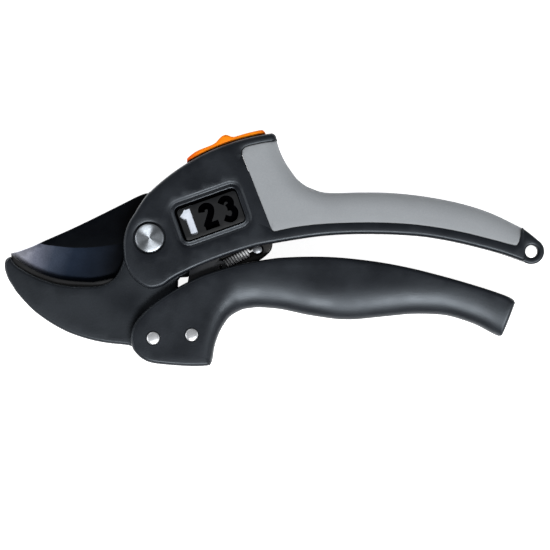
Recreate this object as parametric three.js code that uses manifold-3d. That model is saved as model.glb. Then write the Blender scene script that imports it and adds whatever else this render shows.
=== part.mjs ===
// Three-step anvil pruning shears, closed and lying on their side.
// X runs towards the handle ends, Y towards the upper handle and Z is the thickness.
// The origin is on the axis of the main pivot, in the plane that the shears rest on.
// Millimetres. Inside the model Z is measured from the middle plane of the blade.
import * as THREE from 'three';
import { mergeVertices } from 'three/addons/utils/BufferGeometryUtils.js';
import Module from 'manifold-3d';

const wasm = await Module();
wasm.setup();

// ---------------------------------------------------------------- driving dimensions
const clearance = 0.3;
const bladeReach = 45; // blade and jaw nose, beyond the head of the housing
const gripLength = 95.5; // from the neck of the housing to the hang hole
const bladeThickness = 3;
const cheekThickness = 2.8;
const linkThickness = 1.6;
const wallThickness = 3.6;
const noseThickness = 11.6;
const edgeChamfer = 1.6;
const handleChamfer = 1;
const grindWidth = 12;
const edgeHalf = 0.15; // half the thickness left at the cutting edge

const headEdge = -10; // left end of the housing
const neck = 50; // where both grips begin
const handlePivot = [1.4, -38.1]; // lower handle on jaw
const linkPivot = [16.05, -36.85]; // link on lower handle
const firstNotch = [24, 7];
const notchPitch = 7.3;
const notchTilt = THREE.MathUtils.degToRad(16);
const stepPinRadius = 1.5;
const notchPlay = 1.15; // room round the step pin in its notch
const linkHalfWidth = 5.15;
const tailRadius = 6.5;

const pivotHeadRadius = 5.4;
const pivotBarrelRadius = 3.4;
const pivotScrewRadius = 2;
const bushWall = 1.1;
const headProud = 0.4;
const pivotHeadHeight = 1.7;
const rivetRadius = 1.9;
const rivetHeadRadius = 2.45;
const rivetHeadHeight = 0.7;

const gripDepth = 1.6; // soft grip on the faces of the housing
const gripCrown = 2; // soft grip over the back of the housing
const shellRim = 3; // closing wall between the two shells
const crownRadius = 81;
const crownCentre = [56.6, -40.6];
const lockTravel = THREE.MathUtils.degToRad(4.5);
const lockHalfWidth = 8.2;

const windowCentre = [23, 8.8];
const windowTilt = THREE.MathUtils.degToRad(19.5);
const windowLength = 25;
const windowHeight = 14;
const windowLedge = 0.9;
const plateThickness = 0.6;
const flagWidth = 6.4;
const digitHeight = 9.6;
const digitPitch = 7.9;
const followerWidth = 3;
const followerHeight = 1.6;

const anvilWidth = 7.2;
const anvilDepth = 5;
const springRadius = 1.6;
const springWire = 0.32;
const hangHoleRadius = 2.4;
const hangEndRadius = 4.9;
const tabThickness = 9;
const screwRadius = 1.4;
const screwHeadRadius = 2.6;
const screwHeadHeight = 2;
const bossRadius = 3.9;

// ---------------------------------------------------------------- levels from the middle plane
const bladeFace = bladeThickness / 2;
const cheekInner = bladeFace + clearance;
const cheekOuter = cheekInner + cheekThickness;
const headInner = cheekOuter + clearance;
const linkInner = headInner;
const linkOuter = linkInner + linkThickness;
const wallInner = linkOuter + clearance;
const wallOuter = wallInner + wallThickness;
const coreOuter = wallOuter - gripDepth - clearance;
const windowFloor = wallInner + 1;
const flagLow = windowFloor + clearance;
const plateLow = flagLow + plateThickness + clearance;
const far = wallOuter + 5;

// ---------------------------------------------------------------- outlines
const vec = ([x, y]) => new THREE.Vector2(x, y);
const alongGrip = (fraction) => neck + fraction * gripLength;
const alongBlade = (fraction) => headEdge - fraction * bladeReach;
const onGrip = (points) => points.map(([fraction, y]) => [alongGrip(fraction), y]);
const onBlade = (points) => points.map(([fraction, y]) => [alongBlade(fraction), y]);

function smooth(points, perSpan = 2) {
  const curve = new THREE.SplineCurve(points.map(vec));
  return curve.getPoints((points.length - 1) * perSpan).map((p) => [p.x, p.y]);
}

function arc([cx, cy], radius, from, to, steps) {
  const points = [];
  for (let i = 0; i <= steps; i += 1) {
    const angle = from + ((to - from) * i) / steps;
    points.push([cx + radius * Math.cos(angle), cy + radius * Math.sin(angle)]);
  }
  return points;
}

// Angle, seen from the centre of the crown, of the point of the crown above x.
const crownAngle = (x, radius = crownRadius) => Math.acos((x - crownCentre[0]) / radius);

function crownArc(radius, fromX, toX, steps = 8) {
  return arc(crownCentre, radius, crownAngle(fromX, radius), crownAngle(toX, radius), steps);
}

// Moves every side of a closed outline inwards by the distance, and mitres the corners.
function inset(outline, distance) {
  const sign = Math.sign(THREE.ShapeUtils.area(outline.map(vec)));
  const normal = ([ax, ay], [bx, by]) => {
    const scale = sign / Math.hypot(bx - ax, by - ay);
    return [(ay - by) * scale, (bx - ax) * scale];
  };
  return outline.map((point, i) => {
    const before = normal(outline[(i + outline.length - 1) % outline.length], point);
    const after = normal(point, outline[(i + 1) % outline.length]);
    const mitre = distance / Math.max(1 + before[0] * after[0] + before[1] * after[1], 0.5);
    return [point[0] + (before[0] + after[0]) * mitre, point[1] + (before[1] + after[1]) * mitre];
  });
}

function roundedBox([cx, cy], width, height, radius, tilt) {
  const corners = [[1, 1, 0], [-1, 1, 90], [-1, -1, 180], [1, -1, 270]];
  const points = corners.flatMap(([sx, sy, start]) => {
    const centre = [sx * (width / 2 - radius), sy * (height / 2 - radius)];
    const from = THREE.MathUtils.degToRad(start);
    return arc(centre, radius, from, from + Math.PI / 2, 4);
  });
  const cos = Math.cos(tilt);
  const sin = Math.sin(tilt);
  return points.map(([x, y]) => [cx + x * cos - y * sin, cy + x * sin + y * cos]);
}

const hangHole = [alongGrip(1), -5.1];

const gripTopEdge = smooth([
  ...onGrip([
    [0.105, 19.7], [0.157, 17.8], [0.209, 17.3], [0.314, 17.5], [0.419, 17.4], [0.524, 16.6],
    [0.628, 15.1], [0.733, 12.9], [0.838, 9.6], [0.942, 4.8],
  ]),
  [hangHole[0] + 1.5, hangHole[1] + 5.6],
]);
const neckEdge = smooth([[48.4, 37.3], [50, 32.5], [52, 28.5], [54, 25.5], [57, 21.9]]);
const gripLowerEdge = smooth([
  [hangHole[0] - 2.5, hangHole[1] - 3.9],
  ...onGrip([
    [0.89, -6.3], [0.785, -3.5], [0.681, -1.3], [0.576, 0.4], [0.471, 1.2], [0.366, 1.5],
    [0.262, 1.4], [0.157, 0.7], [0.052, -0.7], [-0.06, -2.3],
  ]),
]);
const housingBelly = smooth([
  [40, -3.2], [30, -6.5], [20, -10.3], [10, -15.1], [5, -18.4], [0.5, -19.3], [-3, -18],
  [-6.5, -15], [-9.2, -10], [headEdge + 0.1, -5], [-9.8, 0], [-8.3, 5], [-5.3, 10],
]);

const housingOutline = [
  ...crownArc(crownRadius, 0, 47, 10),
  ...neckEdge,
  ...gripTopEdge,
  ...arc(hangHole, hangEndRadius, 0.6, -2, 8),
  ...gripLowerEdge,
  ...housingBelly,
];

const cuttingEdge = smooth(onBlade([
  [0.267, -17], [0.333, -16.9], [0.444, -16.5], [0.556, -15.7], [0.667, -14.2], [0.778, -11.9],
  [0.889, -8.7], [0.94, -7],
]));
const spine = smooth([
  ...onBlade([[0.962, -6], [0.889, -5], [0.667, -0.9], [0.444, 3.5], [0.222, 8.3], [0, 13.3]]),
  [-1.5, 16.9], [2.5, 17.2],
]);
const tang = [
  [8, 18], [20, 22.5], [34, 25.4], [45, 25.4], [49.5, 22], [49.5, 12.3], [19, 3.3], [15, -3.5],
];
const heel = smooth([[10, -9.5], [0, -13.2], [-8, -14], [-13, -14.9]]);
const bladeOutline = [...spine, ...tang, ...heel, ...cuttingEdge];

const jawLip = smooth([
  ...onBlade([
    [0.969, -8.3], [0.889, -11.1], [0.778, -13.9], [0.667, -16], [0.556, -17.5],
    [0.444, -18.2], [0.333, -18.4], [0.222, -18.2],
  ]),
  [-15, -16.3], [-11.5, -12], [-9.7, -7],
]);
const jawBelly = smooth([
  [-5, -42.3],
  ...onBlade([
    [0, -40.7], [0.222, -39.4], [0.444, -36.4], [0.667, -30.9], [0.778, -27], [0.889, -21.6],
    [0.978, -15.5], [1.006, -11], [0.993, -8.7],
  ]),
]);
const jawOutline = [
  ...jawLip,
  ...arc([0, 0], 9.4, 2.9, 0.1, 8),
  [10.4, -12],
  [10.6, -19],
  ...arc(handlePivot, tailRadius, 0.2, -1.7, 8),
  ...jawBelly,
];

const handleTop = smooth([
  [-7.3, -38], [-6.3, -33.6], [-4, -30.2], [0, -26.2], [10, -19.2], [20, -14.2], [30, -11],
  [40, -8.9], [neck, -7.5],
  ...onGrip([
    [0.105, -7.1], [0.209, -7.3], [0.314, -8.2], [0.419, -9.6], [0.524, -11.6], [0.628, -14.1],
    [0.733, -16.9], [0.838, -20], [0.921, -23.1], [0.932, -24.8],
  ]),
]);
const handleEnd = onGrip([[0.885, -36], [0.87, -37.5]]);
const fingerSide = smooth([
  ...onGrip([
    [0.838, -36], [0.733, -31.5], [0.628, -29.2], [0.524, -29], [0.419, -29.9], [0.314, -30.9],
    [0.262, -31.1], [0.157, -30.1], [0.052, -28.2], [-0.052, -26.6],
  ]),
  [38, -26.8], [31, -29.6], [27, -35], [24.5, -42],
]);
const handleToe = smooth([
  [23.5, -47.3], [22.3, -48.6], [15, -48.8], [5, -48.1], [-1.5, -46.6], [-5, -44], [-6.7, -41],
]);
const handleOutline = [...handleTop, ...handleEnd, ...fingerSide, ...handleToe];

const gripOutline = [
  [36, 33], [37.2, 34.8], [40, 35.8], [45, 36.8],
  ...neckEdge,
  ...gripTopEdge.filter(([x]) => x < alongGrip(0.955)),
  ...smooth(onGrip([
    [0.958, 2.4], [0.945, -1], [0.918, -2.8], [0.838, -0.7], [0.733, 1.8], [0.628, 3.7],
    [0.524, 5], [0.419, 5.6], [0.314, 5.7], [0.209, 5.4], [0.105, 4.6], [0, 2.8],
  ])),
  [47, 2.6],
];

// ---------------------------------------------------------------- solids
function toSolid(geometry) {
  geometry.deleteAttribute('normal');
  geometry.deleteAttribute('uv');
  const merged = mergeVertices(geometry, 1e-4);
  return new wasm.Manifold(new wasm.Mesh({
    numProp: 3,
    vertProperties: merged.attributes.position.array,
    triVerts: merged.index.array,
  }));
}

function toGeometry(solid) {
  const mesh = solid.getMesh();
  const geometry = new THREE.BufferGeometry();
  geometry.setAttribute('position', new THREE.BufferAttribute(mesh.vertProperties, 3));
  geometry.setIndex(new THREE.BufferAttribute(mesh.triVerts, 1));
  geometry.computeVertexNormals();
  return geometry;
}

function plateGeometry(outline, low, high, chamfer = 0) {
  const geometry = new THREE.ExtrudeGeometry(new THREE.Shape(outline.map(vec)), {
    depth: high - low - 2 * chamfer,
    bevelEnabled: chamfer > 0,
    bevelSize: chamfer,
    bevelThickness: chamfer,
    bevelOffset: -chamfer,
    bevelSegments: 1,
  });
  geometry.translate(0, 0, low + chamfer);
  return geometry;
}

const plate = (outline, low, high, chamfer) => toSolid(plateGeometry(outline, low, high, chamfer));

function pin([x, y], radius, low, high, sides = 20) {
  const geometry = new THREE.CylinderGeometry(radius, radius, high - low, sides);
  geometry.rotateX(Math.PI / 2);
  geometry.translate(x, y, (low + high) / 2);
  return toSolid(geometry);
}

function block([x0, x1], [y0, y1], [z0, z1]) {
  const geometry = new THREE.BoxGeometry(x1 - x0, y1 - y0, z1 - z0);
  geometry.translate((x0 + x1) / 2, (y0 + y1) / 2, (z0 + z1) / 2);
  return toSolid(geometry);
}

// A turned piece on a Z axis: its profile is a list of [radius, level] from axis to axis.
function turnedGeometry(profile, sides = 20) {
  const geometry = new THREE.LatheGeometry(profile.map(vec), sides);
  geometry.rotateX(Math.PI / 2);
  return geometry;
}

// A flat stroke of even width along a curve, for the figures in the window.
function stroke(points, width, low, high) {
  const line = smooth(points, 3);
  const side = (sign) => line.map(([x, y], i) => {
    const [ax, ay] = line[Math.max(i - 1, 0)];
    const [bx, by] = line[Math.min(i + 1, line.length - 1)];
    const shift = (sign * width) / 2 / Math.hypot(bx - ax, by - ay);
    return [x - (by - ay) * shift, y + (bx - ax) * shift];
  });
  return plate([...side(1), ...side(-1).reverse()], low, high);
}

const everyHalf = ([low, high]) => block([-200, 300], [-200, 200], [low, high]);
const bothSides = (low, high, make) => make(low, high).add(make(-high, -low));

// ---------------------------------------------------------------- places that pieces share
const screwPlaces = [[42, 30.2], [58.5, 12], [alongGrip(0.49), 9.4], [alongGrip(0.87), 0.5]];
const bladePinPlaces = [[11.5, 15.2], [46, 18.5]];
const bladePinRadius = 2;
const bladePinBossRadius = 3.6;
const bladePinReach = wallOuter - 1.6;
const carrierPinPlace = [43.6, 0.6];
const carrierPinRadius = 1.3;
const springStart = [27.6, -10.4];
const springEnd = [37.4, -5.6];
const springAnchor = [41, -4.4];
const springLevel = cheekOuter - springRadius - 0.1;
const earPlace = [26.9, -11];
const anvilScrewX = alongBlade(0.5);
const anvilScrewSeat = -33.5 + screwHeadHeight;
const bushRadius = pivotBarrelRadius + clearance + bushWall;
const tailBushRadius = rivetRadius + clearance + bushWall;
const notchPlaces = [0, 1, 2].map((step) => [
  firstNotch[0] + step * notchPitch * Math.cos(notchTilt),
  firstNotch[1] + step * notchPitch * Math.sin(notchTilt),
]);
const stemFrom = 24;
const stemTo = 36;
const stemHalfWidth = 2.2;
const stemInner = crownRadius - 5.5;
const windowPoint = (along, across) => [
  windowCentre[0] + along * Math.cos(windowTilt) - across * Math.sin(windowTilt),
  windowCentre[1] + along * Math.sin(windowTilt) + across * Math.cos(windowTilt),
];
const followerPlace = (along) => windowPoint(along, -4);

// ---------------------------------------------------------------- housing
function mechanismBay() {
  const bay = [
    ...crownArc(crownRadius - shellRim, 7, 43.5, 6),
    [46.5, 31.5], [49, 25], [52.3, 18], [52.3, 10], [50.5, 3], [48, -8], [30, -40], [-40, -40],
    [-40, 45], [5, 45],
  ];
  const linkBay = [
    [17, 13.5], [28, 17], [42, 19.5], [46.5, 13], [47.6, -8], [30, -40], [0, -40], [11.3, -16],
    [16.8, 5],
  ];
  return plate(bay, -headInner, headInner).add(plate(linkBay, -wallInner, wallInner));
}

function lockSlot() {
  const room = clearance / crownRadius;
  const from = crownAngle(stemFrom) + lockTravel + room;
  const to = crownAngle(stemTo) - room;
  const inner = arc(crownCentre, crownRadius - 2 * shellRim, from, to, 6);
  const outer = arc(crownCentre, crownRadius + 2, to, from, 6);
  const halfWidth = stemHalfWidth + clearance;
  return plate([...inner, ...outer], -halfWidth, halfWidth);
}

function gripHollow() {
  const inside = ([x]) => x > alongGrip(0.07) && x < alongGrip(0.9);
  const outline = [
    ...gripTopEdge.filter(inside).map(([x, y]) => [x, y - 4.6]),
    ...gripLowerEdge.filter(inside).map(([x, y]) => [x, y + 4.6]),
  ];
  return plate(outline, 2 - coreOuter, coreOuter - 2);
}

function housing() {
  const gripSpace = plate(inset(gripOutline, -clearance), -far, far);
  const core = plate(inset(housingOutline, gripCrown + clearance), -coreOuter, coreOuter)
    .intersect(block([38, alongGrip(0.99)], [-50, 60], [-far, far]));
  const tabRoom = bothSides(tabThickness / 2, far, (low, high) => (
    block([alongGrip(0.965), alongGrip(1.2)], [-30, 30], [low, high])
  ));
  let body = plate(housingOutline, -wallOuter, wallOuter, edgeChamfer)
    .subtract(gripSpace)
    .add(core)
    .subtract(mechanismBay())
    .subtract(gripHollow())
    .subtract(lockSlot())
    .subtract(tabRoom)
    .subtract(pin(hangHole, hangHoleRadius, -far, far));
  screwPlaces.forEach((place) => {
    body = body.add(pin(place, bossRadius, -wallInner, wallInner));
    body = body.subtract(pin(place, screwRadius + clearance, -far, wallInner + clearance));
  });
  bladePinPlaces.forEach((place) => {
    const reach = bladePinReach + clearance;
    body = body
      .add(bothSides(cheekInner, wallInner, (low, high) => pin(place, bladePinBossRadius, low, high)))
      .subtract(pin(place, bladePinRadius + clearance, -reach, reach));
  });
  const carrierReach = bladePinReach + clearance;
  return body
    .subtract(pin(carrierPinPlace, carrierPinRadius + clearance, -carrierReach, carrierReach))
    .subtract(pin([0, 0], pivotBarrelRadius + clearance, -far, far));
}

function frontShell(body) {
  const seat = wallOuter + headProud - pivotHeadHeight - clearance;
  const plateRoom = roundedBox(windowCentre, windowLength, windowHeight, 2, windowTilt);
  const flagRoom = inset(plateRoom, windowLedge);
  const slotLength = 2 * digitPitch + followerWidth + 2 * clearance;
  const slotHeight = followerHeight + 2 * clearance;
  const followerSlot = roundedBox(followerPlace(0), slotLength, slotHeight, 0.8, windowTilt);
  return body
    .intersect(everyHalf([clearance / 2, far]))
    .subtract(pin([0, 0], pivotHeadRadius + 0.8, seat, far, 32))
    .subtract(plate(plateRoom, plateLow - clearance, far))
    .subtract(plate(flagRoom, windowFloor, far))
    .subtract(plate(followerSlot, 0, far));
}

function rearShell(body) {
  let shell = body
    .intersect(everyHalf([-far, -clearance / 2]))
    .subtract(pin([0, 0], pivotHeadRadius + clearance, -far, -wallOuter + 2.3, 32));
  screwPlaces.forEach((place) => {
    const seat = -coreOuter + screwHeadHeight + clearance;
    shell = shell.subtract(pin(place, screwHeadRadius + clearance, -far, seat));
  });
  return shell;
}

function softGrip() {
  const core = plate(inset(housingOutline, gripCrown), gripDepth - wallOuter, wallOuter - gripDepth);
  let grip = plate(gripOutline, -wallOuter, wallOuter, 0.5).subtract(core);
  screwPlaces.forEach((place) => {
    grip = grip.subtract(pin(place, screwHeadRadius + 0.6, -far, 0));
  });
  return grip;
}

// ---------------------------------------------------------------- figures in the window
function figures() {
  const low = plateLow - 1;
  const high = plateLow + plateThickness + 1;
  const lines = [
    [[[0.3, 0.06], [0.3, 0.94]], [[0.3, 0.93], [0.03, 0.7]]],
    [
      [[-0.02, 0.7], [0.06, 0.86], [0.24, 0.93], [0.44, 0.84], [0.46, 0.66], [0.3, 0.4], [0, 0.1]],
      [[-0.05, 0.08], [0.52, 0.08]],
    ],
    [
      [[0, 0.8], [0.14, 0.92], [0.32, 0.92], [0.45, 0.8], [0.4, 0.62], [0.2, 0.53]],
      [[0.2, 0.53], [0.42, 0.46], [0.5, 0.28], [0.36, 0.1], [0.16, 0.07], [-0.02, 0.2]],
    ],
  ];
  const width = 0.15 * digitHeight;
  const solids = lines.flatMap((strokes, index) => strokes.map((points) => stroke(
    points.map(([x, y]) => windowPoint(
      (index - 1) * digitPitch + (x - 0.23) * digitHeight,
      (y - 0.5) * digitHeight,
    )),
    width,
    low,
    high,
  )));
  return solids.reduce((all, next) => all.add(next));
}

function numberPlate() {
  const room = roundedBox(windowCentre, windowLength, windowHeight, 2, windowTilt);
  return plate(inset(room, clearance), plateLow, plateLow + plateThickness).subtract(figures());
}

function stepIndicator() {
  const height = windowHeight - 2 * windowLedge - 2 * clearance;
  const rest = -digitPitch;
  const flag = roundedBox(windowPoint(rest, 0), flagWidth, height, 0.6, windowTilt);
  const follower = roundedBox(followerPlace(rest), followerWidth, followerHeight, 0.6, windowTilt);
  return plate(flag, flagLow, flagLow + plateThickness)
    .add(plate(follower, wallInner, flagLow + 0.1));
}

// ---------------------------------------------------------------- blade
function blade() {
  let steel = plate(bladeOutline, -bladeFace, bladeFace)
    .subtract(pin([0, 0], bushRadius + clearance, -far, far));
  notchPlaces.forEach(([x, y]) => {
    const radius = stepPinRadius + notchPlay;
    const down = [Math.sin(notchTilt) * 6, -Math.cos(notchTilt) * 6];
    const across = [Math.cos(notchTilt) * radius, Math.sin(notchTilt) * radius];
    const throat = [
      [x - across[0], y - across[1]],
      [x - across[0] + down[0], y - across[1] + down[1]],
      [x + across[0] + down[0], y + across[1] + down[1]],
      [x + across[0], y + across[1]],
    ];
    steel = steel.subtract(pin([x, y], radius, -far, far)).subtract(plate(throat, -far, far));
  });
  bladePinPlaces.forEach((place) => {
    steel = steel.subtract(pin(place, bladePinRadius + clearance, -far, far));
  });
  return steel.subtract(bladeGrind(1)).subtract(bladeGrind(-1));
}

// The bevel that brings one face down to the cutting edge: everything outside it is ground away.
function bladeGrind(side) {
  const lower = cuttingEdge.map(([x, y]) => [x, y - 1]);
  const upper = cuttingEdge.map(([x, y]) => [x, y + grindWidth]).reverse();
  const geometry = plateGeometry([...lower, ...upper], 0, 1);
  const { position } = geometry.attributes;
  for (let i = 0; i < position.count; i += 1) {
    const rise = (position.getY(i) - heightOfEdge(position.getX(i))) / grindWidth;
    const surface = edgeHalf + Math.max(rise, 0) * (bladeFace - edgeHalf);
    const inner = position.getZ(i) < 0.5 === side > 0;
    position.setZ(i, side * (inner ? surface : bladeFace + 1));
  }
  return toSolid(geometry);
}

function heightOfEdge(x) {
  const index = cuttingEdge.findIndex(([edgeX]) => edgeX <= x);
  if (index <= 0) {
    return cuttingEdge[index < 0 ? cuttingEdge.length - 1 : 0][1];
  }
  const [ax, ay] = cuttingEdge[index - 1];
  const [bx, by] = cuttingEdge[index];
  return ay + ((by - ay) * (x - ax)) / (bx - ax);
}

// ---------------------------------------------------------------- lower jaw
const anvilSection = (top, bottom) => {
  const upper = cuttingEdge.filter(([x]) => x < alongBlade(0.27) && x > alongBlade(0.935));
  const lower = upper.map(([x, y]) => [x, y - bottom]).reverse();
  return [...upper.map(([x, y]) => [x, y - top]), ...lower];
};

function lowerJaw() {
  const nose = plate(jawOutline, -noseThickness / 2, noseThickness / 2, 1)
    .intersect(block([-100, -6], [-60, 20], [-far, far]))
    .subtract(pin([0, 0], 20.3, -far, far, 48));
  const trough = inset(anvilSection(-8, anvilDepth), -clearance);
  const troughHalf = anvilWidth / 2 + clearance;
  return plate(jawOutline, -cheekOuter, cheekOuter, 0.4)
    .add(nose)
    .subtract(pin([0, 0], 20.7, -cheekInner, cheekInner, 48))
    .subtract(plate(trough, -troughHalf, troughHalf))
    .subtract(pin([0, 0], bushRadius + clearance, -far, far))
    .subtract(pin(handlePivot, tailBushRadius + clearance, -far, far))
    .subtract(anvilScrewBore(screwRadius + clearance, screwHeadRadius + clearance, -100));
}

function anvilScrewBore(radius, headRadius, bottom) {
  const shank = new THREE.CylinderGeometry(radius, radius, 40, 20);
  shank.translate(anvilScrewX, heightOfEdge(anvilScrewX) - anvilDepth / 2 - 20, 0);
  const headTop = anvilScrewSeat;
  const head = new THREE.CylinderGeometry(headRadius, headRadius, headTop - bottom, 20);
  head.translate(anvilScrewX, (headTop + bottom) / 2, 0);
  return toSolid(shank).add(toSolid(head));
}

function anvil() {
  return plate(anvilSection(clearance, anvilDepth), -anvilWidth / 2, anvilWidth / 2)
    .subtract(anvilScrewBore(screwRadius + clearance, screwHeadRadius, -100));
}

function anvilScrewGeometry() {
  const top = heightOfEdge(anvilScrewX) - anvilDepth / 2 - clearance;
  const headTop = anvilScrewSeat - clearance;
  const headBottom = headTop - screwHeadHeight;
  const geometry = new THREE.LatheGeometry([
    [0, headBottom + 1], [1.2, headBottom + 1], [1.2, headBottom], [screwHeadRadius - 0.3, headBottom],
    [screwHeadRadius, headBottom + 0.3], [screwHeadRadius, headTop], [screwRadius, headTop],
    [screwRadius, top], [0, top],
  ].map(vec), 12);
  return geometry;
}

// ---------------------------------------------------------------- lower handle
function lowerHandle() {
  const bay = [
    [8.5, -70], [9.5, -45.7], [20, -45.5], [22, -40], [24.5, -33.5], [28, -28.5], [34, -24.3],
    [neck - 7, -23], [neck + 4, -23.6], [neck + 6, -20], [neck + 6, -2], [-20, -2], [-20, -70],
  ];
  const channel = [
    ...onGrip([
      [0.12, 0], [0.12, -22], [0.157, -25], [0.262, -26.4], [0.419, -25.3], [0.576, -24.6],
      [0.681, -26], [0.8, -29.4], [0.84, -28], [0.84, 0],
    ]),
  ];
  let handle = plate(handleOutline, -wallOuter, wallOuter, handleChamfer)
    .subtract(plate(bay, -wallInner, wallInner))
    .subtract(plate(channel, -wallInner + 1.4, wallInner - 1.4));
  [0.3, 0.48, 0.66].forEach((fraction) => {
    const x = alongGrip(fraction);
    const rib = block([x - 0.8, x + 0.8], [-29, -16], [-wallInner, wallInner]);
    handle = handle.add(rib);
  });
  [handlePivot, linkPivot].forEach((place) => {
    const seat = wallOuter - rivetHeadHeight - clearance;
    handle = handle
      .subtract(pin(place, rivetRadius + clearance, -far, far))
      .subtract(bothSides(seat, far, (low, high) => pin(place, rivetHeadRadius + clearance, low, high)));
  });
  return handle;
}

function rivetGeometry() {
  const seat = wallOuter - rivetHeadHeight;
  return turnedGeometry([
    [0, -wallOuter], [rivetHeadRadius, -wallOuter], [rivetHeadRadius, -seat], [rivetRadius, -seat],
    [rivetRadius, seat], [rivetHeadRadius, seat], [rivetHeadRadius, wallOuter - 0.2],
    [rivetHeadRadius - 0.5, wallOuter + 0.2], [0, wallOuter + headProud],
  ], 16);
}

// ---------------------------------------------------------------- link and its step pin
const linkLean = Math.atan2(firstNotch[1] - linkPivot[1], firstNotch[0] - linkPivot[0]);

function linkPlate(low, high, withEar) {
  const outline = [
    ...arc(firstNotch, linkHalfWidth, linkLean + Math.PI / 2, linkLean - Math.PI / 2, 10),
    ...arc(linkPivot, linkHalfWidth, linkLean - Math.PI / 2, linkLean - (3 * Math.PI) / 2, 10),
  ];
  let body = plate(outline, low, high);
  if (withEar) {
    body = body.add(pin(earPlace, 2.3, low, high)).subtract(pin(earPlace, 0.9, -far, far, 16));
  }
  return body
    .subtract(pin(firstNotch, stepPinRadius * 0.75 + clearance, -far, far))
    .subtract(pin(linkPivot, rivetRadius + clearance, -far, far));
}

function stepPinGeometry() {
  const neckRadius = stepPinRadius * 0.75;
  const shoulder = linkInner - clearance;
  return turnedGeometry([
    [0, -linkOuter], [neckRadius, -linkOuter], [neckRadius, -shoulder], [stepPinRadius, -shoulder],
    [stepPinRadius, shoulder], [neckRadius, shoulder], [neckRadius, linkOuter], [0, linkOuter],
  ], 16);
}

function sleeveGeometry(inner, outer, halfLength) {
  return turnedGeometry([
    [inner, -halfLength], [outer, -halfLength], [outer, halfLength], [inner, halfLength],
    [inner, -halfLength],
  ], 18);
}

// ---------------------------------------------------------------- spring and its carrier
function springCarrier() {
  const outline = [
    [27.2, -13.6], [28.6, -7], [31, -1.5], [34, 2.2], [41, 4.6], [45.5, 4], [46.6, 0],
    [46.9, -4.6], [45.9, -7], [42, -9.4], [34, -12.6], [30, -14.4],
  ];
  const along = Math.atan2(springEnd[1] - springStart[1], springEnd[0] - springStart[0]);
  const middle = [
    (springStart[0] + springAnchor[0]) / 2 - 1.5,
    (springStart[1] + springAnchor[1]) / 2 - 0.4,
  ];
  const groove = roundedBox(middle, 19, 2 * (springRadius + 0.6), 0.8, along);
  return plate(outline, -cheekOuter, cheekOuter)
    .subtract(plate(groove, springLevel - springRadius - clearance, far))
    .subtract(pin(springAnchor, 2.4, springLevel - springRadius - clearance, far))
    .subtract(pin(springAnchor, 0.9 + clearance, -2, far))
    .subtract(pin(carrierPinPlace, carrierPinRadius + clearance, -far, far));
}

class CoilCurve extends THREE.Curve {
  getPoint(t, target = new THREE.Vector3()) {
    const turns = 9;
    const along = Math.atan2(springEnd[1] - springStart[1], springEnd[0] - springStart[0]);
    const length = Math.hypot(springEnd[0] - springStart[0], springEnd[1] - springStart[1]);
    const radius = springRadius - springWire;
    const angle = 2 * Math.PI * turns * t;
    const across = radius * Math.cos(angle);
    return target.set(
      springStart[0] + length * t * Math.cos(along) - across * Math.sin(along),
      springStart[1] + length * t * Math.sin(along) + across * Math.cos(along),
      springLevel + radius * Math.sin(angle),
    );
  }
}

function springGeometry() {
  const section = new THREE.Shape(arc([0, 0], springWire, 0, 2 * Math.PI * (5 / 6), 5).map(vec));
  return new THREE.ExtrudeGeometry(section, {
    steps: 72, bevelEnabled: false, extrudePath: new CoilCurve(),
  });
}

function springAnchorGeometry() {
  const low = -2 + clearance;
  const geometry = turnedGeometry([
    [0, low], [0.9, low], [0.9, cheekOuter - 0.8], [1.7, cheekOuter - 0.8], [1.7, cheekOuter - 0.2],
    [0, cheekOuter - 0.1],
  ], 18);
  return geometry;
}

// ---------------------------------------------------------------- lock
function lockButton() {
  const under = crownArc(crownRadius + clearance, 44.2, 14.3, 10);
  const top = smooth([
    [14.7, 30.6], [18, 33.2], [24.2, 35.9], [26.3, 37.8], [29, 39.2], [31.7, 38.6], [37, 39.9],
    [42.6, 41], [43.8, 40.4],
  ]);
  const stem = [
    ...arc(crownCentre, crownRadius + 0.5, crownAngle(stemFrom), crownAngle(stemTo), 4),
    ...arc(crownCentre, stemInner, crownAngle(stemTo), crownAngle(stemFrom), 4),
  ];
  return plate([...under, ...top], -lockHalfWidth, lockHalfWidth, 0.5)
    .add(plate(stem, -stemHalfWidth, stemHalfWidth));
}

function lockLatch() {
  const top = crownRadius - shellRim - clearance;
  const outline = [
    ...arc(crownCentre, top, crownAngle(26), crownAngle(34.5), 4),
    [32.5, 28], [29, 24], [27.5, 17.5], [24.5, 14.5], [22, 15.6], [24.4, 18.6], [24.6, 25],
  ];
  return plate(outline, stemHalfWidth + clearance, cheekOuter);
}

function lockDetent() {
  const outer = crownRadius - shellRim - clearance;
  const inner = outer - 0.6;
  const from = crownAngle(37.3);
  const to = crownAngle(42.6);
  const outline = [
    ...arc(crownCentre, outer, from, to, 5),
    ...arc(crownCentre, inner, to, from, 5),
  ];
  return plate(outline, -1.5, 1.5);
}

// ---------------------------------------------------------------- pivot
function pivotBoltGeometry() {
  const top = wallOuter + headProud;
  const under = top - pivotHeadHeight;
  const end = -wallInner + 1.5;
  return turnedGeometry([
    [0, end], [pivotScrewRadius, end], [pivotScrewRadius, under], [pivotHeadRadius, under],
    [pivotHeadRadius, top - 0.5], [pivotHeadRadius - 0.5, top], [0, top],
  ], 28);
}

function pivotNutGeometry() {
  const flange = -wallOuter + 2;
  const top = wallOuter + headProud - pivotHeadHeight - clearance;
  const bore = pivotScrewRadius + clearance;
  const boreEnd = -wallInner + 1.5 - clearance;
  return turnedGeometry([
    [0, -wallOuter], [pivotHeadRadius, -wallOuter], [pivotHeadRadius, flange],
    [pivotBarrelRadius, flange], [pivotBarrelRadius, top], [bore, top], [bore, boreEnd], [0, boreEnd],
  ], 28);
}

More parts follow.
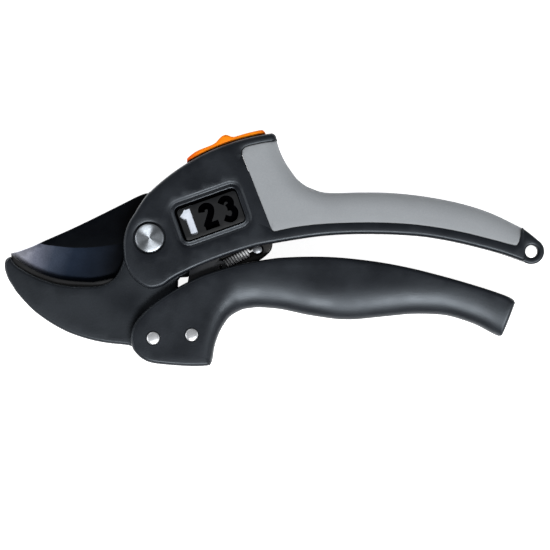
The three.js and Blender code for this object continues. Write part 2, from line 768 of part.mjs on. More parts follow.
function shellScrewGeometry() {
  const headLow = -coreOuter;
  const headTop = headLow + screwHeadHeight;
  return turnedGeometry([
    [0, headLow + 1], [1.1, headLow + 1], [1.1, headLow], [screwHeadRadius - 0.3, headLow],
    [screwHeadRadius, headLow + 0.3], [screwHeadRadius, headTop], [screwRadius, headTop],
    [screwRadius, wallInner], [0, wallInner],
  ], 12);
}

// ---------------------------------------------------------------- materials
const finish = (color, roughness, metalness = 0) => (
  new THREE.MeshStandardMaterial({ color, roughness, metalness })
);
const finishes = {
  shell: finish(0x2a2d33, 0.45),
  grip: finish(0xa3a8ae, 0.75),
  button: finish(0xee7a12, 0.4),
  bladeCoat: finish(0x15181f, 0.25, 0.3),
  jaw: finish(0x16181b, 0.4, 0.2),
  anvil: finish(0x6e7276, 0.6),
  steel: finish(0xb9bdc2, 0.3, 1),
  link: finish(0x141a26, 0.4, 0.4),
  plate: finish(0x3a3e44, 0.5),
  flag: finish(0xf2f2f0, 0.6),
  bronze: finish(0xa8804a, 0.4, 1),
};

// ---------------------------------------------------------------- assembly
const shears = new THREE.Group();
shears.position.z = wallOuter;

function addPiece(name, shape, material, [x, y] = [0, 0]) {
  const geometry = shape instanceof THREE.BufferGeometry ? shape : toGeometry(shape);
  const mesh = new THREE.Mesh(geometry, material);
  mesh.name = name;
  mesh.position.set(x, y, 0);
  shears.add(mesh);
}

const housingBody = housing();
addPiece('front_shell', frontShell(housingBody), finishes.shell);
addPiece('rear_shell', rearShell(housingBody), finishes.shell);
addPiece('soft_grip', softGrip(), finishes.grip);
addPiece('number_plate', numberPlate(), finishes.plate);
addPiece('step_indicator', stepIndicator(), finishes.flag);
addPiece('blade', blade(), finishes.bladeCoat);
addPiece('pivot_bolt', pivotBoltGeometry(), finishes.steel);
addPiece('pivot_nut', pivotNutGeometry(), finishes.steel);
addPiece('pivot_bush', sleeveGeometry(bushRadius - bushWall, bushRadius, cheekOuter), finishes.bronze);
bladePinPlaces.forEach((place, i) => {
  const reach = bladePinReach;
  addPiece(`blade_pin_${i + 1}`, pin(place, bladePinRadius, -reach, reach), finishes.steel);
});
screwPlaces.forEach((place, i) => {
  addPiece(`shell_screw_${i + 1}`, shellScrewGeometry(), finishes.steel, place);
});
addPiece('lock_button', lockButton(), finishes.button);
addPiece('lock_latch', lockLatch(), finishes.steel);
addPiece('lock_detent', lockDetent(), finishes.steel);

addPiece('lower_jaw', lowerJaw(), finishes.jaw);
addPiece('anvil', anvil(), finishes.anvil);
addPiece('anvil_screw', anvilScrewGeometry(), finishes.steel, [anvilScrewX, 0]);
addPiece(
  'tail_bush',
  sleeveGeometry(tailBushRadius - bushWall, tailBushRadius, cheekOuter),
  finishes.bronze,
  handlePivot,
);

addPiece('lower_handle', lowerHandle(), finishes.shell);
addPiece('handle_rivet', rivetGeometry(), finishes.steel, handlePivot);
addPiece('link_rivet', rivetGeometry(), finishes.steel, linkPivot);

addPiece('link_front', linkPlate(linkInner, linkOuter, true), finishes.link);
addPiece('link_rear', linkPlate(-linkOuter, -linkInner, false), finishes.link);
addPiece(
  'link_spacer',
  sleeveGeometry(tailBushRadius - bushWall, tailBushRadius, linkInner - clearance),
  finishes.steel,
  linkPivot,
);
addPiece('step_pin', stepPinGeometry(), finishes.steel, firstNotch);

addPiece('spring_carrier', springCarrier(), finishes.shell);
addPiece(
  'carrier_pin',
  pin(carrierPinPlace, carrierPinRadius, -bladePinReach, bladePinReach),
  finishes.steel,
);
addPiece('spring_anchor', springAnchorGeometry(), finishes.steel, springAnchor);
addPiece('step_spring', springGeometry(), finishes.steel);

export default shears;
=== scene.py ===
"""Three-step anvil pruning shears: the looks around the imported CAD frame.

Lengths are in millimetres until a mesh is made, and Z is measured from the middle plane of the
blade. LIFT raises everything so that the shears rest on the floor at Z = 0.
"""
import math

import bmesh
import bpy
import numpy as np
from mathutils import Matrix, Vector
from mathutils.geometry import delaunay_2d_cdt

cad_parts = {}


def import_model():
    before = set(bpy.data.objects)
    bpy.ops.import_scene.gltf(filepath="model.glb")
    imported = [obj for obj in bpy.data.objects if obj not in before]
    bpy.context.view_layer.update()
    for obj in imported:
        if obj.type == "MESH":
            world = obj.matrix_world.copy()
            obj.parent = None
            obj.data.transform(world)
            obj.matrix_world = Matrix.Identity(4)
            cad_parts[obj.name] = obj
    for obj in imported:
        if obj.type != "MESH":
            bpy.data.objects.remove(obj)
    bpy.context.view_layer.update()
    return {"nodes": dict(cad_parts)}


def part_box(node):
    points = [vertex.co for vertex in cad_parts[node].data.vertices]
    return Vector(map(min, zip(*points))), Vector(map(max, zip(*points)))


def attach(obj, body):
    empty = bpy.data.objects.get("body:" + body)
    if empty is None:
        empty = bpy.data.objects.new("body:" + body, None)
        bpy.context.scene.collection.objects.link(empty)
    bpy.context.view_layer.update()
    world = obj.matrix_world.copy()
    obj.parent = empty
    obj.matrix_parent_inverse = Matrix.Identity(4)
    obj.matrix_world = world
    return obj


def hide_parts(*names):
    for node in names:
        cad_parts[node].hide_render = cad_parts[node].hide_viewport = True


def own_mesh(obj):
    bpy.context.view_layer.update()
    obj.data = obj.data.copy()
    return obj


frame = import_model()
MM = 0.001
TAU = 2 * math.pi

# Levels from the middle plane, as in the frame
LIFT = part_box("front_shell")[1].z / MM / 2
WALL = LIFT  # outer faces of housing and handle
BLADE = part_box("blade")[1].z / MM - LIFT
CHEEK = 4.6
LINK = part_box("link_front")[1].z / MM - LIFT
WALL_INNER = LINK + 0.3
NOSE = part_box("lower_jaw")[1].z / MM - LIFT
PLATE_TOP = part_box("number_plate")[1].z / MM - LIFT

PIVOT = np.array([0.0, 0.0])
HANDLE_PIVOT = np.array([1.4, -38.1])
LINK_PIVOT = np.array([16.05, -36.85])
FIRST_NOTCH = np.array([24.0, 7.0])
HANG_HOLE = np.array([145.5, -5.1])
CROWN_CENTRE = np.array([56.6, -40.6])
CROWN_RADIUS = 81.0
HANG_RADIUS = 2.4
WINDOW = np.array([23.0, 8.8])
WINDOW_LENGTH = 25
WINDOW_HEIGHT = 14
WINDOW_TILT = math.radians(19.5)
BUSH_BORE = 5.1  # radius of the main pivot's bush in the jaw and the blade
RIVET_BORE = 2.2
THROUGH = 20  # reach of a cutter that goes right through, from the middle plane
SCREWS = [(42, 30.2), (58.5, 12), (96.8, 9.4), (133.1, 0.5)]


# ---- outlines
def smooth(points, step=0.9):
    """An even Catmull-Rom curve through the points, sampled about every step."""
    p = np.array(points, float)
    out = []
    for i in range(len(p) - 1):
        a = p[max(i - 1, 0)]
        b, c = p[i], p[i + 1]
        d = p[min(i + 2, len(p) - 1)]
        count = max(2, int(math.ceil(np.linalg.norm(c - b) / step)))
        for k in range(count):
            t = k / count
            slope_b, slope_c = (c - a) / 2, (d - b) / 2
            out.append(
                (2 * t**3 - 3 * t**2 + 1) * b
                + (t**3 - 2 * t**2 + t) * slope_b
                + (3 * t**2 - 2 * t**3) * c
                + (t**3 - t**2) * slope_c
            )
    out.append(p[-1])
    return np.array(out)


def arc(centre, radius, start, end, step=0.6):
    count = max(3, int(abs(end - start) * radius / step))
    angles = np.linspace(start, end, count + 1)
    return np.array(centre) + radius * np.column_stack([np.cos(angles), np.sin(angles)])


def circle(centre, radius, count=64):
    angles = np.arange(count) * TAU / count
    return np.array(centre) + radius * np.column_stack([np.cos(angles), np.sin(angles)])


def crown(x, radius=CROWN_RADIUS):
    return math.acos((x - CROWN_CENTRE[0]) / radius)


def join_open(*pieces):
    """One line of the pieces, without points that lie on each other."""
    points = np.vstack(pieces)
    keep = [points[0]]
    for point in points[1:]:
        if np.linalg.norm(point - keep[-1]) > 0.12:
            keep.append(point)
    return np.array(keep)


def join(*pieces):
    """One closed loop of the pieces."""
    loop = join_open(*pieces)
    return loop[:-1] if np.linalg.norm(loop[0] - loop[-1]) < 0.12 else loop


def rounded(points, radius, step=0.5):
    """A closed polygon with rounded corners. radius is one length or one for each corner."""
    p = np.array(points, float)
    radii = np.broadcast_to(radius, len(p))
    out = []
    for i, corner in enumerate(p):
        to_a, to_b = p[i - 1] - corner, p[(i + 1) % len(p)] - corner
        la, lb = np.linalg.norm(to_a), np.linalg.norm(to_b)
        turn = math.acos(np.clip(np.dot(to_a, to_b) / la / lb, -1, 1))
        reach = min(radii[i] / math.tan(turn / 2), la * 0.49, lb * 0.49)
        start, end = corner + to_a / la * reach, corner + to_b / lb * reach
        count = max(2, int(reach * 2 / step))
        for k in range(count + 1):
            t = k / count
            out.append((1 - t) ** 2 * start + 2 * t * (1 - t) * corner + t**2 * end)
    return dense(np.array(out), 1.0)


def dense(loop, step):
    """A closed loop with no side longer than step."""
    out = []
    for a, b in zip(loop, np.roll(loop, -1, 0)):
        count = max(1, int(math.ceil(np.linalg.norm(b - a) / step)))
        out.extend(a + (b - a) * k / count for k in range(count))
    return np.array(out)


def tilted_box(centre, width, height, radius, tilt):
    half = np.array([[1, 1], [-1, 1], [-1, -1], [1, -1]]) * [width / 2, height / 2]
    turn = np.array([[math.cos(tilt), math.sin(tilt)], [-math.sin(tilt), math.cos(tilt)]])
    return rounded(half @ turn + centre, radius)


def normals(line, closed):
    if closed:
        along = np.roll(line, -1, 0) - np.roll(line, 1, 0)
    else:
        along = np.gradient(line, axis=0)
    along /= np.maximum(np.linalg.norm(along, axis=1), 1e-9)[:, None]
    return np.column_stack([-along[:, 1], along[:, 0]])


def turns_left(loop):
    after = np.roll(loop, -1, 0)
    return np.sum(loop[:, 0] * after[:, 1] - after[:, 0] * loop[:, 1]) > 0


def offset_line(line, d):
    """An open line moved by d to the left of its direction."""
    return line + d * normals(line, False)


def distance(points, line, closed=True):
    """Distance of each point to a polyline."""
    a = line if closed else line[:-1]
    b = np.roll(line, -1, 0) if closed else line[1:]
    best = np.full(len(points), 1e9)
    for start, end in zip(a, b):
        side = end - start
        t = np.clip(((points - start) @ side) / max(side @ side, 1e-12), 0, 1)
        gap = points - start - t[:, None] * side
        best = np.minimum(best, np.einsum("ij,ij->i", gap, gap))
    return np.sqrt(best)


def inside(points, loop):
    odd = np.zeros(len(points), bool)
    for a, b in zip(loop, np.roll(loop, -1, 0)):
        spans = (a[1] > points[:, 1]) != (b[1] > points[:, 1])
        with np.errstate(divide="ignore", invalid="ignore"):
            cross = (b[0] - a[0]) * (points[:, 1] - a[1]) / (b[1] - a[1]) + a[0]
        odd ^= spans & (points[:, 0] < cross)
    return odd


def fillet(d, width, flatness=1):
    """How far a rounded edge has dropped at distance d from it. Its depth is width * flatness."""
    t = np.clip(1 - d / width, 0, 1)
    return width * flatness * (1 - np.sqrt(1 - t * t))


def edged(level, loop, radius):
    """A face at a level, rounded along its outline."""
    return lambda points: level - fillet(distance(points, loop), radius)


def flat(level):
    return lambda points: np.full(len(points), level)


def fillet_rings(width, steps=5):
    return [width * (1 - math.cos(k / steps * math.pi / 2)) for k in range(1, steps + 1)]


def sunk(level, points, pockets):
    """The level with each pocket let in. pockets are (loop, floor) with nearly upright walls."""
    for loop, floor in pockets:
        level = np.where(inside(points, offset(loop, -0.04)), floor, level)
    return level


def pocket_marks(pockets):
    return [line for loop, _ in pockets for line in (loop, offset(loop, -0.08))]


# ---- meshes
def shade(mesh, sharp):
    """Smooth shading, with hard edges over an angle in degrees."""
    mesh.polygons.foreach_set("use_smooth", [True] * len(mesh.polygons))
    mesh.set_sharp_from_angle(angle=math.radians(sharp))


def make_object(name, vertices, faces, sharp=32):
    mesh = bpy.data.meshes.new(name)
    mesh.from_pydata([tuple(v) for v in vertices], [], [tuple(f) for f in faces])
    mesh.validate()
    shade(mesh, sharp)
    obj = bpy.data.objects.new(name, mesh)
    bpy.context.scene.collection.objects.link(obj)
    return obj


def lifted(x, y, z):
    return (x * MM, y * MM, (z + LIFT) * MM)


def relief(name, outer, top, bottom=None, holes=(), rings=(), marks=(), grid=3.0, sharp=32):
    """A solid with one height over each point of its outline.

    top and bottom give the levels of an array of points. Without bottom, the solid is mirrored in
    the middle plane. rings are (line, closed, distances): rows of points beside a line. marks are
    closed lines that the mesh keeps as edges.
    """
    loops = [outer, *holes]
    points = [np.array(loop) for loop in loops] + [np.array(m) for m in marks]
    edges, start = [], 0
    for line in points:
        count = len(line)
        edges += [(start + i, start + (i + 1) % count) for i in range(count)]
        start += count
    free = []
    for line, closed, distances in rings:
        side = normals(line, closed)
        for d in distances:
            for sign in (1, -1):
                row = line + sign * d * side
                free.append(row[distance(row, line, closed) > 0.985 * d])
    low, high = outer.min(0), outer.max(0)
    xs = np.arange(low[0] + grid / 2, high[0], grid)
    ys = np.arange(low[1] + grid / 2, high[1], grid * 0.87)
    lattice = np.array([(x + grid / 2 * (j % 2), y) for j, y in enumerate(ys) for x in xs])
    used = np.vstack(free) if free else np.zeros((0, 2))
    for line in [*loops, *marks]:
        lattice = lattice[distance(lattice, line) > grid * 0.55]
        used = used[distance(used, line) > 0.07]
    for line, closed, distances in rings:
        lattice = lattice[distance(lattice, line, closed) > max(distances) + grid * 0.3]
    used = np.vstack([used, lattice])
    used = used[inside(used, outer)]
    cloud = np.vstack([*points, used])
    found, _, triangles, _, _, _ = delaunay_2d_cdt(
        [Vector(p) for p in cloud], edges, [], 0, 1e-5
    )
    spots = np.array([(v.x, v.y) for v in found])
    triangles = np.array(triangles)
    middle = spots[triangles].mean(1)
    keep = inside(middle, outer)
    for hole in holes:
        keep &= ~inside(middle, hole)
    triangles = triangles[keep]
    a, b, c = (spots[triangles[:, i]] for i in range(3))
    area = (b[:, 0] - a[:, 0]) * (c[:, 1] - a[:, 1]) - (b[:, 1] - a[:, 1]) * (c[:, 0] - a[:, 0])
    triangles[area < 0] = triangles[area < 0][:, ::-1]
    directed = {(t[i], t[(i + 1) % 3]): True for t in triangles.tolist() for i in range(3)}
    rim = [(i, j) for i, j in directed if (j, i) not in directed]
    count = len(spots)
    z_top = top(spots)
    z_bottom = bottom(spots) if bottom else -z_top
    vertices = [lifted(x, y, z) for (x, y), z in zip(spots, z_top)]
    vertices += [lifted(x, y, z) for (x, y), z in zip(spots, z_bottom)]
    faces = triangles.tolist()
    faces += [[k + count, j + count, i + count] for i, j, k in triangles.tolist()]
    faces += [[j, i, i + count, j + count] for i, j in rim]
    obj = make_object(name, vertices, faces, sharp)
    drop_loose(obj)
    return obj


def drop_loose(obj):
    mesh = obj.data
    used = {i for face in mesh.polygons for i in face.vertices}
    if len(used) == len(mesh.vertices):
        return
    bm = bmesh.new()
    bm.from_mesh(mesh)
    loose = [v for v in bm.verts if not v.link_faces]
    bmesh.ops.delete(bm, geom=loose, context="VERTS")
    bm.to_mesh(mesh)
    bm.free()


def prism(name, loop, low, high):
    """A straight-sided solid, to take away or to add."""
    count = len(loop)
    if not turns_left(loop):
        loop = loop[::-1]
    vertices = [lifted(x, y, low) for x, y in loop] + [lifted(x, y, high) for x, y in loop]
    faces = [list(range(count))[::-1], [count + i for i in range(count)]]
    faces += [[i, (i + 1) % count, count + (i + 1) % count, count + i] for i in range(count)]
    return make_object(name, vertices, faces)


def drill(centre, radius, count=64):
    """A round cutter that goes right through."""
    return prism("drill", circle(centre, radius, count), -THROUGH, THROUGH)


def cut(obj, *cutters, sharp=32, operation="DIFFERENCE"):
    """Takes the cutters out of obj, or adds them to it, and removes them."""
    for cutter in cutters:
        modifier = obj.modifiers.new("cut", "BOOLEAN")
        modifier.operation = operation
        modifier.solver = "EXACT"
        modifier.object = cutter
    graph = bpy.context.evaluated_depsgraph_get()
    mesh = bpy.data.meshes.new_from_object(obj.evaluated_get(graph))
    obj.modifiers.clear()
    obj.data = mesh
    for cutter in cutters:
        bpy.data.objects.remove(cutter)
    shade(mesh, sharp)
    return obj


def turned(name, centre, profile, count=64):
    """A piece turned about Z at centre. The profile is [radius, level] from axis to axis."""
    vertices, faces = [], []
    rows = []
    for radius, level in profile:
        if radius < 1e-6:
            rows.append([len(vertices)])
            vertices.append(lifted(centre[0], centre[1], level))
        else:
            rows.append(list(range(len(vertices), len(vertices) + count)))
            vertices += [lifted(x, y, level) for x, y in circle(centre, radius, count)]
    for low, high in zip(rows, rows[1:]):
        for i in range(count):
            j = (i + 1) % count
            face = [low[i % len(low)], low[j % len(low)], high[j % len(high)], high[i % len(high)]]
            face = list(dict.fromkeys(face))
            if len(face) > 2:
                faces.append(face)
    return make_object(name, vertices, faces)


def tube(name, path, radius, count=10):
    """A round wire along a path of points, with domed ends."""
    p = np.array(path, float)
    along = np.gradient(p, axis=0)
    along /= np.linalg.norm(along, axis=1)[:, None]
    side = np.cross(along[0], [0.3, 0.2, 0.9])
    side /= np.linalg.norm(side)
    vertices, faces = [], []
    for i, point in enumerate(p):
        side = side - along[i] * (side @ along[i])
        side /= np.linalg.norm(side)
        other = np.cross(along[i], side)
        for k in range(count):
            angle = TAU * k / count
            x, y, z = point + radius * (math.cos(angle) * side + math.sin(angle) * other)
            vertices.append(lifted(x, y, z))
    for i in range(len(p) - 1):
        for k in range(count):
            j = (k + 1) % count
            faces.append([i * count + k, i * count + j, (i + 1) * count + j, (i + 1) * count + k])
    for end, sign in ((0, -1), (len(p) - 1, 1)):
        tip = p[end] + sign * along[end] * radius * 0.6
        vertices.append(lifted(*tip))
        for k in range(count):
            face = [end * count + k, end * count + (k + 1) % count, len(vertices) - 1]
            faces.append(face[::-1] if sign < 0 else face)
    return make_object(name, vertices, faces, sharp=60)


# ---- shared lines
CROWN_LINE = arc(CROWN_CENTRE, CROWN_RADIUS, crown(0), crown(46.5))
NECK_LINE = smooth([
    (46.5, 39.8), (47.6, 39.3), (48.2, 38.3), (48.6, 36.6), (50, 32.5), (52, 28.5), (54, 25.5),
    (56, 22.8), (58, 21), (60, 19.7),
])
BACK_LINE = smooth([
    (60, 19.7), (65, 17.8), (70, 17.3), (80, 17.5), (90, 17.4), (100, 16.6), (110, 15.1),
    (120, 12.9), (130, 9.6), (140, 4.8), (143, 3.1), (147, 0.0),
])
HANG_END = arc(HANG_HOLE, 4.9, 1.05, -2.1)
GRIP_UNDER = smooth([
    (143, -9.3), (135, -6.4), (125, -3.6), (115, -1.3), (105, 0.4), (95, 1.2), (85, 1.5),
    (75, 1.4), (65, 0.7), (55, -0.7), (46, -2.2),
])
BELLY = smooth([
    (46, -2.2), (40, -3.4), (30, -6.5), (20, -10.3), (10, -15.0), (5, -18.3), (0.5, -19.3),
    (-3, -18), (-6.5, -15), (-9.2, -10), (-9.9, -5), (-9.8, 0), (-8.3, 5), (-5.3, 10), (-2.5, 14.4),
    (0, 17.6),
])
GRIP_CORNER = smooth([
    (35.2, 31.5), (35.0, 32.7), (35.7, 34.2), (37.5, 35.1), (40, 35.7), (44, 36.5), (48.6, 37.1),
])
GRIP_FRONT = np.array([(35.2, 31.5), (46.2, 3.4)])
GRIP_EDGE = smooth([
    (46.2, 3.4), (46.8, 2.5), (48, 2.4), (50, 2.9), (55, 3.9), (60, 4.6), (65, 5.1), (70, 5.4),
    (80, 5.7), (90, 5.6), (100, 5), (110, 3.7), (120, 1.8), (130, -0.7), (138, -2.8), (139.8, -2.7),
    (140.6, -1.4), (141.4, 2), (141.9, 3.9),
])
CUTTING_EDGE = smooth([
    (-21.5, -17), (-25, -16.9), (-30, -16.5), (-35, -15.7), (-40, -14.2), (-45, -11.9), (-50, -8.7),
    (-52.2, -7),
])
ANVIL_LINE = smooth([(-13, -15.2), (-17, -16.2), (-21.5, -17)])
ANVIL_LINE = join_open(ANVIL_LINE, CUTTING_EDGE, [(-52.9, -6.8), (-53.3, -6.7)])
EDGE_HALF = 0.15
ANVIL_DEPTH = 5.0
ANVIL_HALF = 3.6
ANVIL_RISE = 0.3  # the anvil's two sides stand above the cutting edge
ANVIL_ROUND = 0.5
GAP = 0.3


def before(line, x):
    return line[line[:, 0] < x]


def beyond(line, x):
    return line[line[:, 0] >= x]


def edge_height(x):
    line = CUTTING_EDGE[::-1]
    return np.interp(x, line[:, 0], line[:, 1])


def offset(loop, d):
    """A closed loop moved outwards by d, inwards where d is negative."""
    side = normals(loop, True) * (-1 if turns_left(loop) else 1)
    moved = loop + d * side
    return moved[distance(moved, loop) > abs(d) * 0.97]


# ---- housing
TAB_START = 142.2
TAB_HALF = 4.5
TAB_ROUND = 0.8
FRONT_BORE, FRONT_BORE_FLOOR = 6.2, 8.8
REAR_BORE, REAR_BORE_FLOOR = 5.7, 8.1
WINDOW_FLOOR = 8.7
LEDGE_FLOOR = 7.8
VALLEY = 0.55  # depth of the soft valley round the window
VALLEY_WIDTH = 2.5
SHELL_ROUND = 1.4
SMALL_ROUND = 0.35
SEAM_HALF = 0.15  # half the gap between the two shells
HEAD_BAY_HALF = 4.9
BARREL_BORE = 3.7
LOCK_SLOT_HALF = 2.5
GRIP_WALL = 1.8
GRIP_ROUND, GRIP_FLATNESS = 6.5, 0.72
GRIP_SEAM_ROUND = 0.6
GRIP_BACK = join_open(beyond(NECK_LINE, 48.6), before(BACK_LINE, 141.9))
HEAD_BAY = join(
    arc(CROWN_CENTRE, CROWN_RADIUS - 3, crown(7, 78), crown(43.5, 78), 3),
    [(46.5, 31.5), (49, 25), (52.3, 18), (52.3, 10), (50.5, 3), (48, -8), (30, -40), (-40, -40),
     (-40, 45), (5, 45)],
)
LINK_BAY = np.array([
    (17, 13.5), (28, 17), (42, 19.5), (46.5, 13), (47.6, -8), (30, -40), (0, -40), (11.3, -16),
    (16.8, 5),
])


def shell_loop():
    return join(
        CROWN_LINE, before(NECK_LINE, 48.6), GRIP_CORNER[::-1], GRIP_FRONT, GRIP_EDGE,
        beyond(BACK_LINE, 142), HANG_END, GRIP_UNDER, BELLY,
    )


def grip_core():
    """The part of each shell that the soft grip wraps round."""
    back = offset_line(before(GRIP_BACK, 139), -GRIP_WALL - GAP)
    seam = offset_line(before(GRIP_EDGE, 138)[3:], -1.2)
    return join([(35, 36), (45.5, 37.6)], back, seam[::-1], [(44.5, 4)])


def shell(name, side):
    """One half of the housing. side is 1 for the front and -1 for the rear."""
    loop = shell_loop()
    seam = join_open(GRIP_CORNER[::-1], GRIP_FRONT, GRIP_EDGE)
    rim = join_open(GRIP_UNDER, BELLY, CROWN_LINE, before(NECK_LINE, 48.6))
    tail = join_open(beyond(BACK_LINE, 142), HANG_END, GRIP_UNDER[:6])
    window = tilted_box(WINDOW, WINDOW_LENGTH, WINDOW_HEIGHT, 2.6, WINDOW_TILT)
    tab_line = np.array([(TAB_START, y) for y in np.arange(-12, 8, 0.7)])
    bore = circle(PIVOT, FRONT_BORE if side > 0 else REAR_BORE)
    pockets = [(bore, FRONT_BORE_FLOOR if side > 0 else REAR_BORE_FLOOR)]
    if side > 0:
        ledge = tilted_box(WINDOW, 23.2, 12.2, 1.2, WINDOW_TILT)
        pockets += [(window, WINDOW_FLOOR), (ledge, LEDGE_FLOOR)]
    hang = circle(HANG_HOLE, HANG_RADIUS, 40)

    def outside_face(points):
        d_rim = np.minimum(distance(points, rim, False), distance(points, tail, False))
        drop = fillet(d_rim, SHELL_ROUND) + fillet(distance(points, seam, False), SMALL_ROUND)
        drop += fillet(distance(points, bore), SMALL_ROUND)
        if side > 0:
            d_window = np.where(inside(points, window), 0, distance(points, window))
            across = np.clip((d_window - 0.3) / VALLEY_WIDTH, 0, 1)
            drop += VALLEY * (1 - np.cos(TAU * across)) / 2 + fillet(d_window, 0.3)
        level = sunk(WALL - drop, points, pockets)
        tab = TAB_HALF - fillet(np.minimum(d_rim, distance(points, hang)), TAB_ROUND)
        return side * np.where(points[:, 0] > TAB_START, tab, level)

    rings = [
        (rim, False, fillet_rings(SHELL_ROUND)),
        (tail, False, fillet_rings(TAB_ROUND, 3)),
        (seam, False, fillet_rings(SMALL_ROUND, 2)),
        (bore, True, fillet_rings(SMALL_ROUND, 2)),
        (hang, True, fillet_rings(TAB_ROUND, 3)),
        (tab_line, False, [0.06]),
    ]
    if side > 0:
        rings.append((window, True, [0.1, 0.3, 0.7, 1.1, 1.55, 2.0, 2.4, 2.8]))
    faces = (outside_face, flat(side * SEAM_HALF))
    top, bottom = faces if side > 0 else faces[::-1]
    body = relief(name, loop, top, bottom, holes=[hang], rings=rings,
                  marks=pocket_marks(pockets))
    low, high = sorted((side * SEAM_HALF, side * (WALL - GRIP_WALL - GAP)))
    cut(body, prism("core", grip_core(), low, high), operation="UNION")
    cutters = [
        prism("bay", HEAD_BAY, -HEAD_BAY_HALF, HEAD_BAY_HALF),
        prism("link_bay", LINK_BAY, -WALL_INNER, WALL_INNER),
        drill(PIVOT, BARREL_BORE),
        prism("lock_slot", lock_slot_loop(), -LOCK_SLOT_HALF, LOCK_SLOT_HALF),
    ]
    return cut(body, *cutters)


def lock_slot_loop():
    low, high = crown(23.4) + math.radians(4.5), crown(36.4)
    inner = arc(CROWN_CENTRE, CROWN_RADIUS - 6, low, high, 1)
    outer_arc = arc(CROWN_CENTRE, CROWN_RADIUS + 2, high, low, 1)
    return join(inner, outer_arc)


def soft_grip():
    loop = offset(join(GRIP_CORNER, GRIP_BACK, GRIP_EDGE[::-1], GRIP_FRONT[::-1]), -0.15)
    seam = join_open(GRIP_CORNER[::-1], GRIP_FRONT, GRIP_EDGE)

    def face(points):
        d_back = np.maximum(distance(points, GRIP_BACK, False) - 0.15, 0)
        d_seam = np.maximum(distance(points, seam, False) - 0.15, 0)
        return WALL - fillet(d_back, GRIP_ROUND, GRIP_FLATNESS) - fillet(d_seam, GRIP_SEAM_ROUND)

    rings = [
        (offset_line(GRIP_BACK, -0.15), False, fillet_rings(GRIP_ROUND, 9)),
        (offset_line(seam, 0.15), False, fillet_rings(GRIP_SEAM_ROUND, 3)),
    ]
    body = relief("grip_cover", loop, face, rings=rings, sharp=45)
    back = offset_line(before(GRIP_BACK, 140), -GRIP_WALL)
    under = np.array([(140, -20), (30, -20), (30, 38.4), (44, 37.9)])
    half = WALL - GRIP_WALL
    holes = [prism("screw_way", circle(place, 3.3, 32), -THROUGH, 0) for place in SCREWS]
    return cut(body, prism("core", join(back, under), -half, half), *holes, sharp=45)


# ---- blade
SPINE = smooth([
    (-52.9, -6.5), (-53.2, -5.9), (-50, -5), (-45, -3.2), (-40, -0.9), (-30, 3.5), (-20, 8.3),
    (-10, 13.3), (-5, 15.8), (-1.5, 17.1), (2.5, 17.3),
])
GRIND_LINE = smooth([
    (-46, -0.9), (-42, -1.9), (-40, -2.5), (-35, -3.1), (-30, -3.6), (-25, -3.6), (-20, -3.3),
    (-15, -2.7), (-9, -1.8),
])
BLADE_PINS = [(11.5, 15.2), (46, 18.5)]
NOTCH_RADIUS = 2.65
NOTCH_PITCH = 7.3
NOTCH_TILT = math.radians(16)
SPINE_ROUND = 0.4


def grind_share(points):
    """0 on the cutting edge and 1 on the flat of the blade."""
    x, y = points[:, 0], points[:, 1]
    low = edge_height(x)
    high = np.interp(x, GRIND_LINE[:, 0], GRIND_LINE[:, 1])
    high = np.where(x < -46, -0.9 + (-46 - x) * 0.6, high)
    share = np.clip((y - low) / (high - low), 0, 1)
    fade = np.clip((x + 14) / 8, 0, 1)
    return share + (1 - share) * fade * fade * (3 - 2 * fade)


def notch_cutters():
    along = np.array([math.cos(NOTCH_TILT), math.sin(NOTCH_TILT)])
    down = np.array([along[1], -along[0]])
    cutters = []
    for step in range(3):
        place = FIRST_NOTCH + step * NOTCH_PITCH * along
        side = along * NOTCH_RADIUS
        throat = [place - side, place - side + 6 * down, place + side + 6 * down, place + side]
        round_end = arc(place, NOTCH_RADIUS, NOTCH_TILT, NOTCH_TILT + math.pi)
        cutters.append(prism("notch", join(round_end, throat[1:3]), -5, 5))
    return cutters


def blade():
    tang = [
        (8, 18), (20, 22.5), (34, 25.4), (45, 25.4), (49.5, 22), (49.5, 12.3), (19, 3.3),
        (15, -3.5),
    ]
    heel = smooth([
        (10, -9.5), (0, -13.2), (-8, -14.2), (-13, -15.2), (-17, -16.2), (-21.5, -17),
    ])
    loop = join(SPINE, tang, heel, CUTTING_EDGE)

    def face(points):
        level = EDGE_HALF + (BLADE - EDGE_HALF) * grind_share(points)
        rounding = fillet(distance(points, SPINE, False), SPINE_ROUND)
        return np.maximum(level - rounding, EDGE_HALF)

    rings = [
        (SPINE, False, fillet_rings(SPINE_ROUND, 3)),
        (GRIND_LINE, False, [0.05]),
        (CUTTING_EDGE, False, [0.25, 0.8]),
    ]
    holes = [circle(PIVOT, BUSH_BORE, 48)] + [circle(place, 2.3, 24) for place in BLADE_PINS]
    body = relief("blade_steel", loop, face, None, holes, rings, grid=2, sharp=20)
    return cut(body, *notch_cutters(), sharp=20)


# ---- lower jaw and anvil
NOSE_CLEAR = 20.3  # the nose starts this far from the pivot, outside the housing
NOSE_RISE = 12
JAW_ROUND = 1.3
BLADE_SLOT = 20.7
TAIL_BORE = 3.6
LIP = smooth([
    (-53.1, -7.1), (-52.2, -8.9), (-50, -11), (-45, -13.9), (-40, -16), (-35, -17.5),
    (-30, -18.2), (-25, -18.4), (-20, -18.2), (-17, -17.4), (-15, -16.3), (-13, -14.5),
    (-11.5, -12), (-10.5, -9.5), (-9.7, -7),
])
JAW_BELLY = smooth([
    (-2.5, -43.2), (-5, -42.2), (-7.5, -41.1), (-10, -40.7), (-15, -40.2), (-20, -39.4),
    (-25, -38.1), (-30, -36.4), (-35, -34), (-40, -30.9), (-45, -27), (-50, -21.6), (-52, -18.8),
    (-54, -15.5), (-55.2, -12), (-55.3, -9.5), (-54.6, -7.9), (-53.1, -7.1),
])


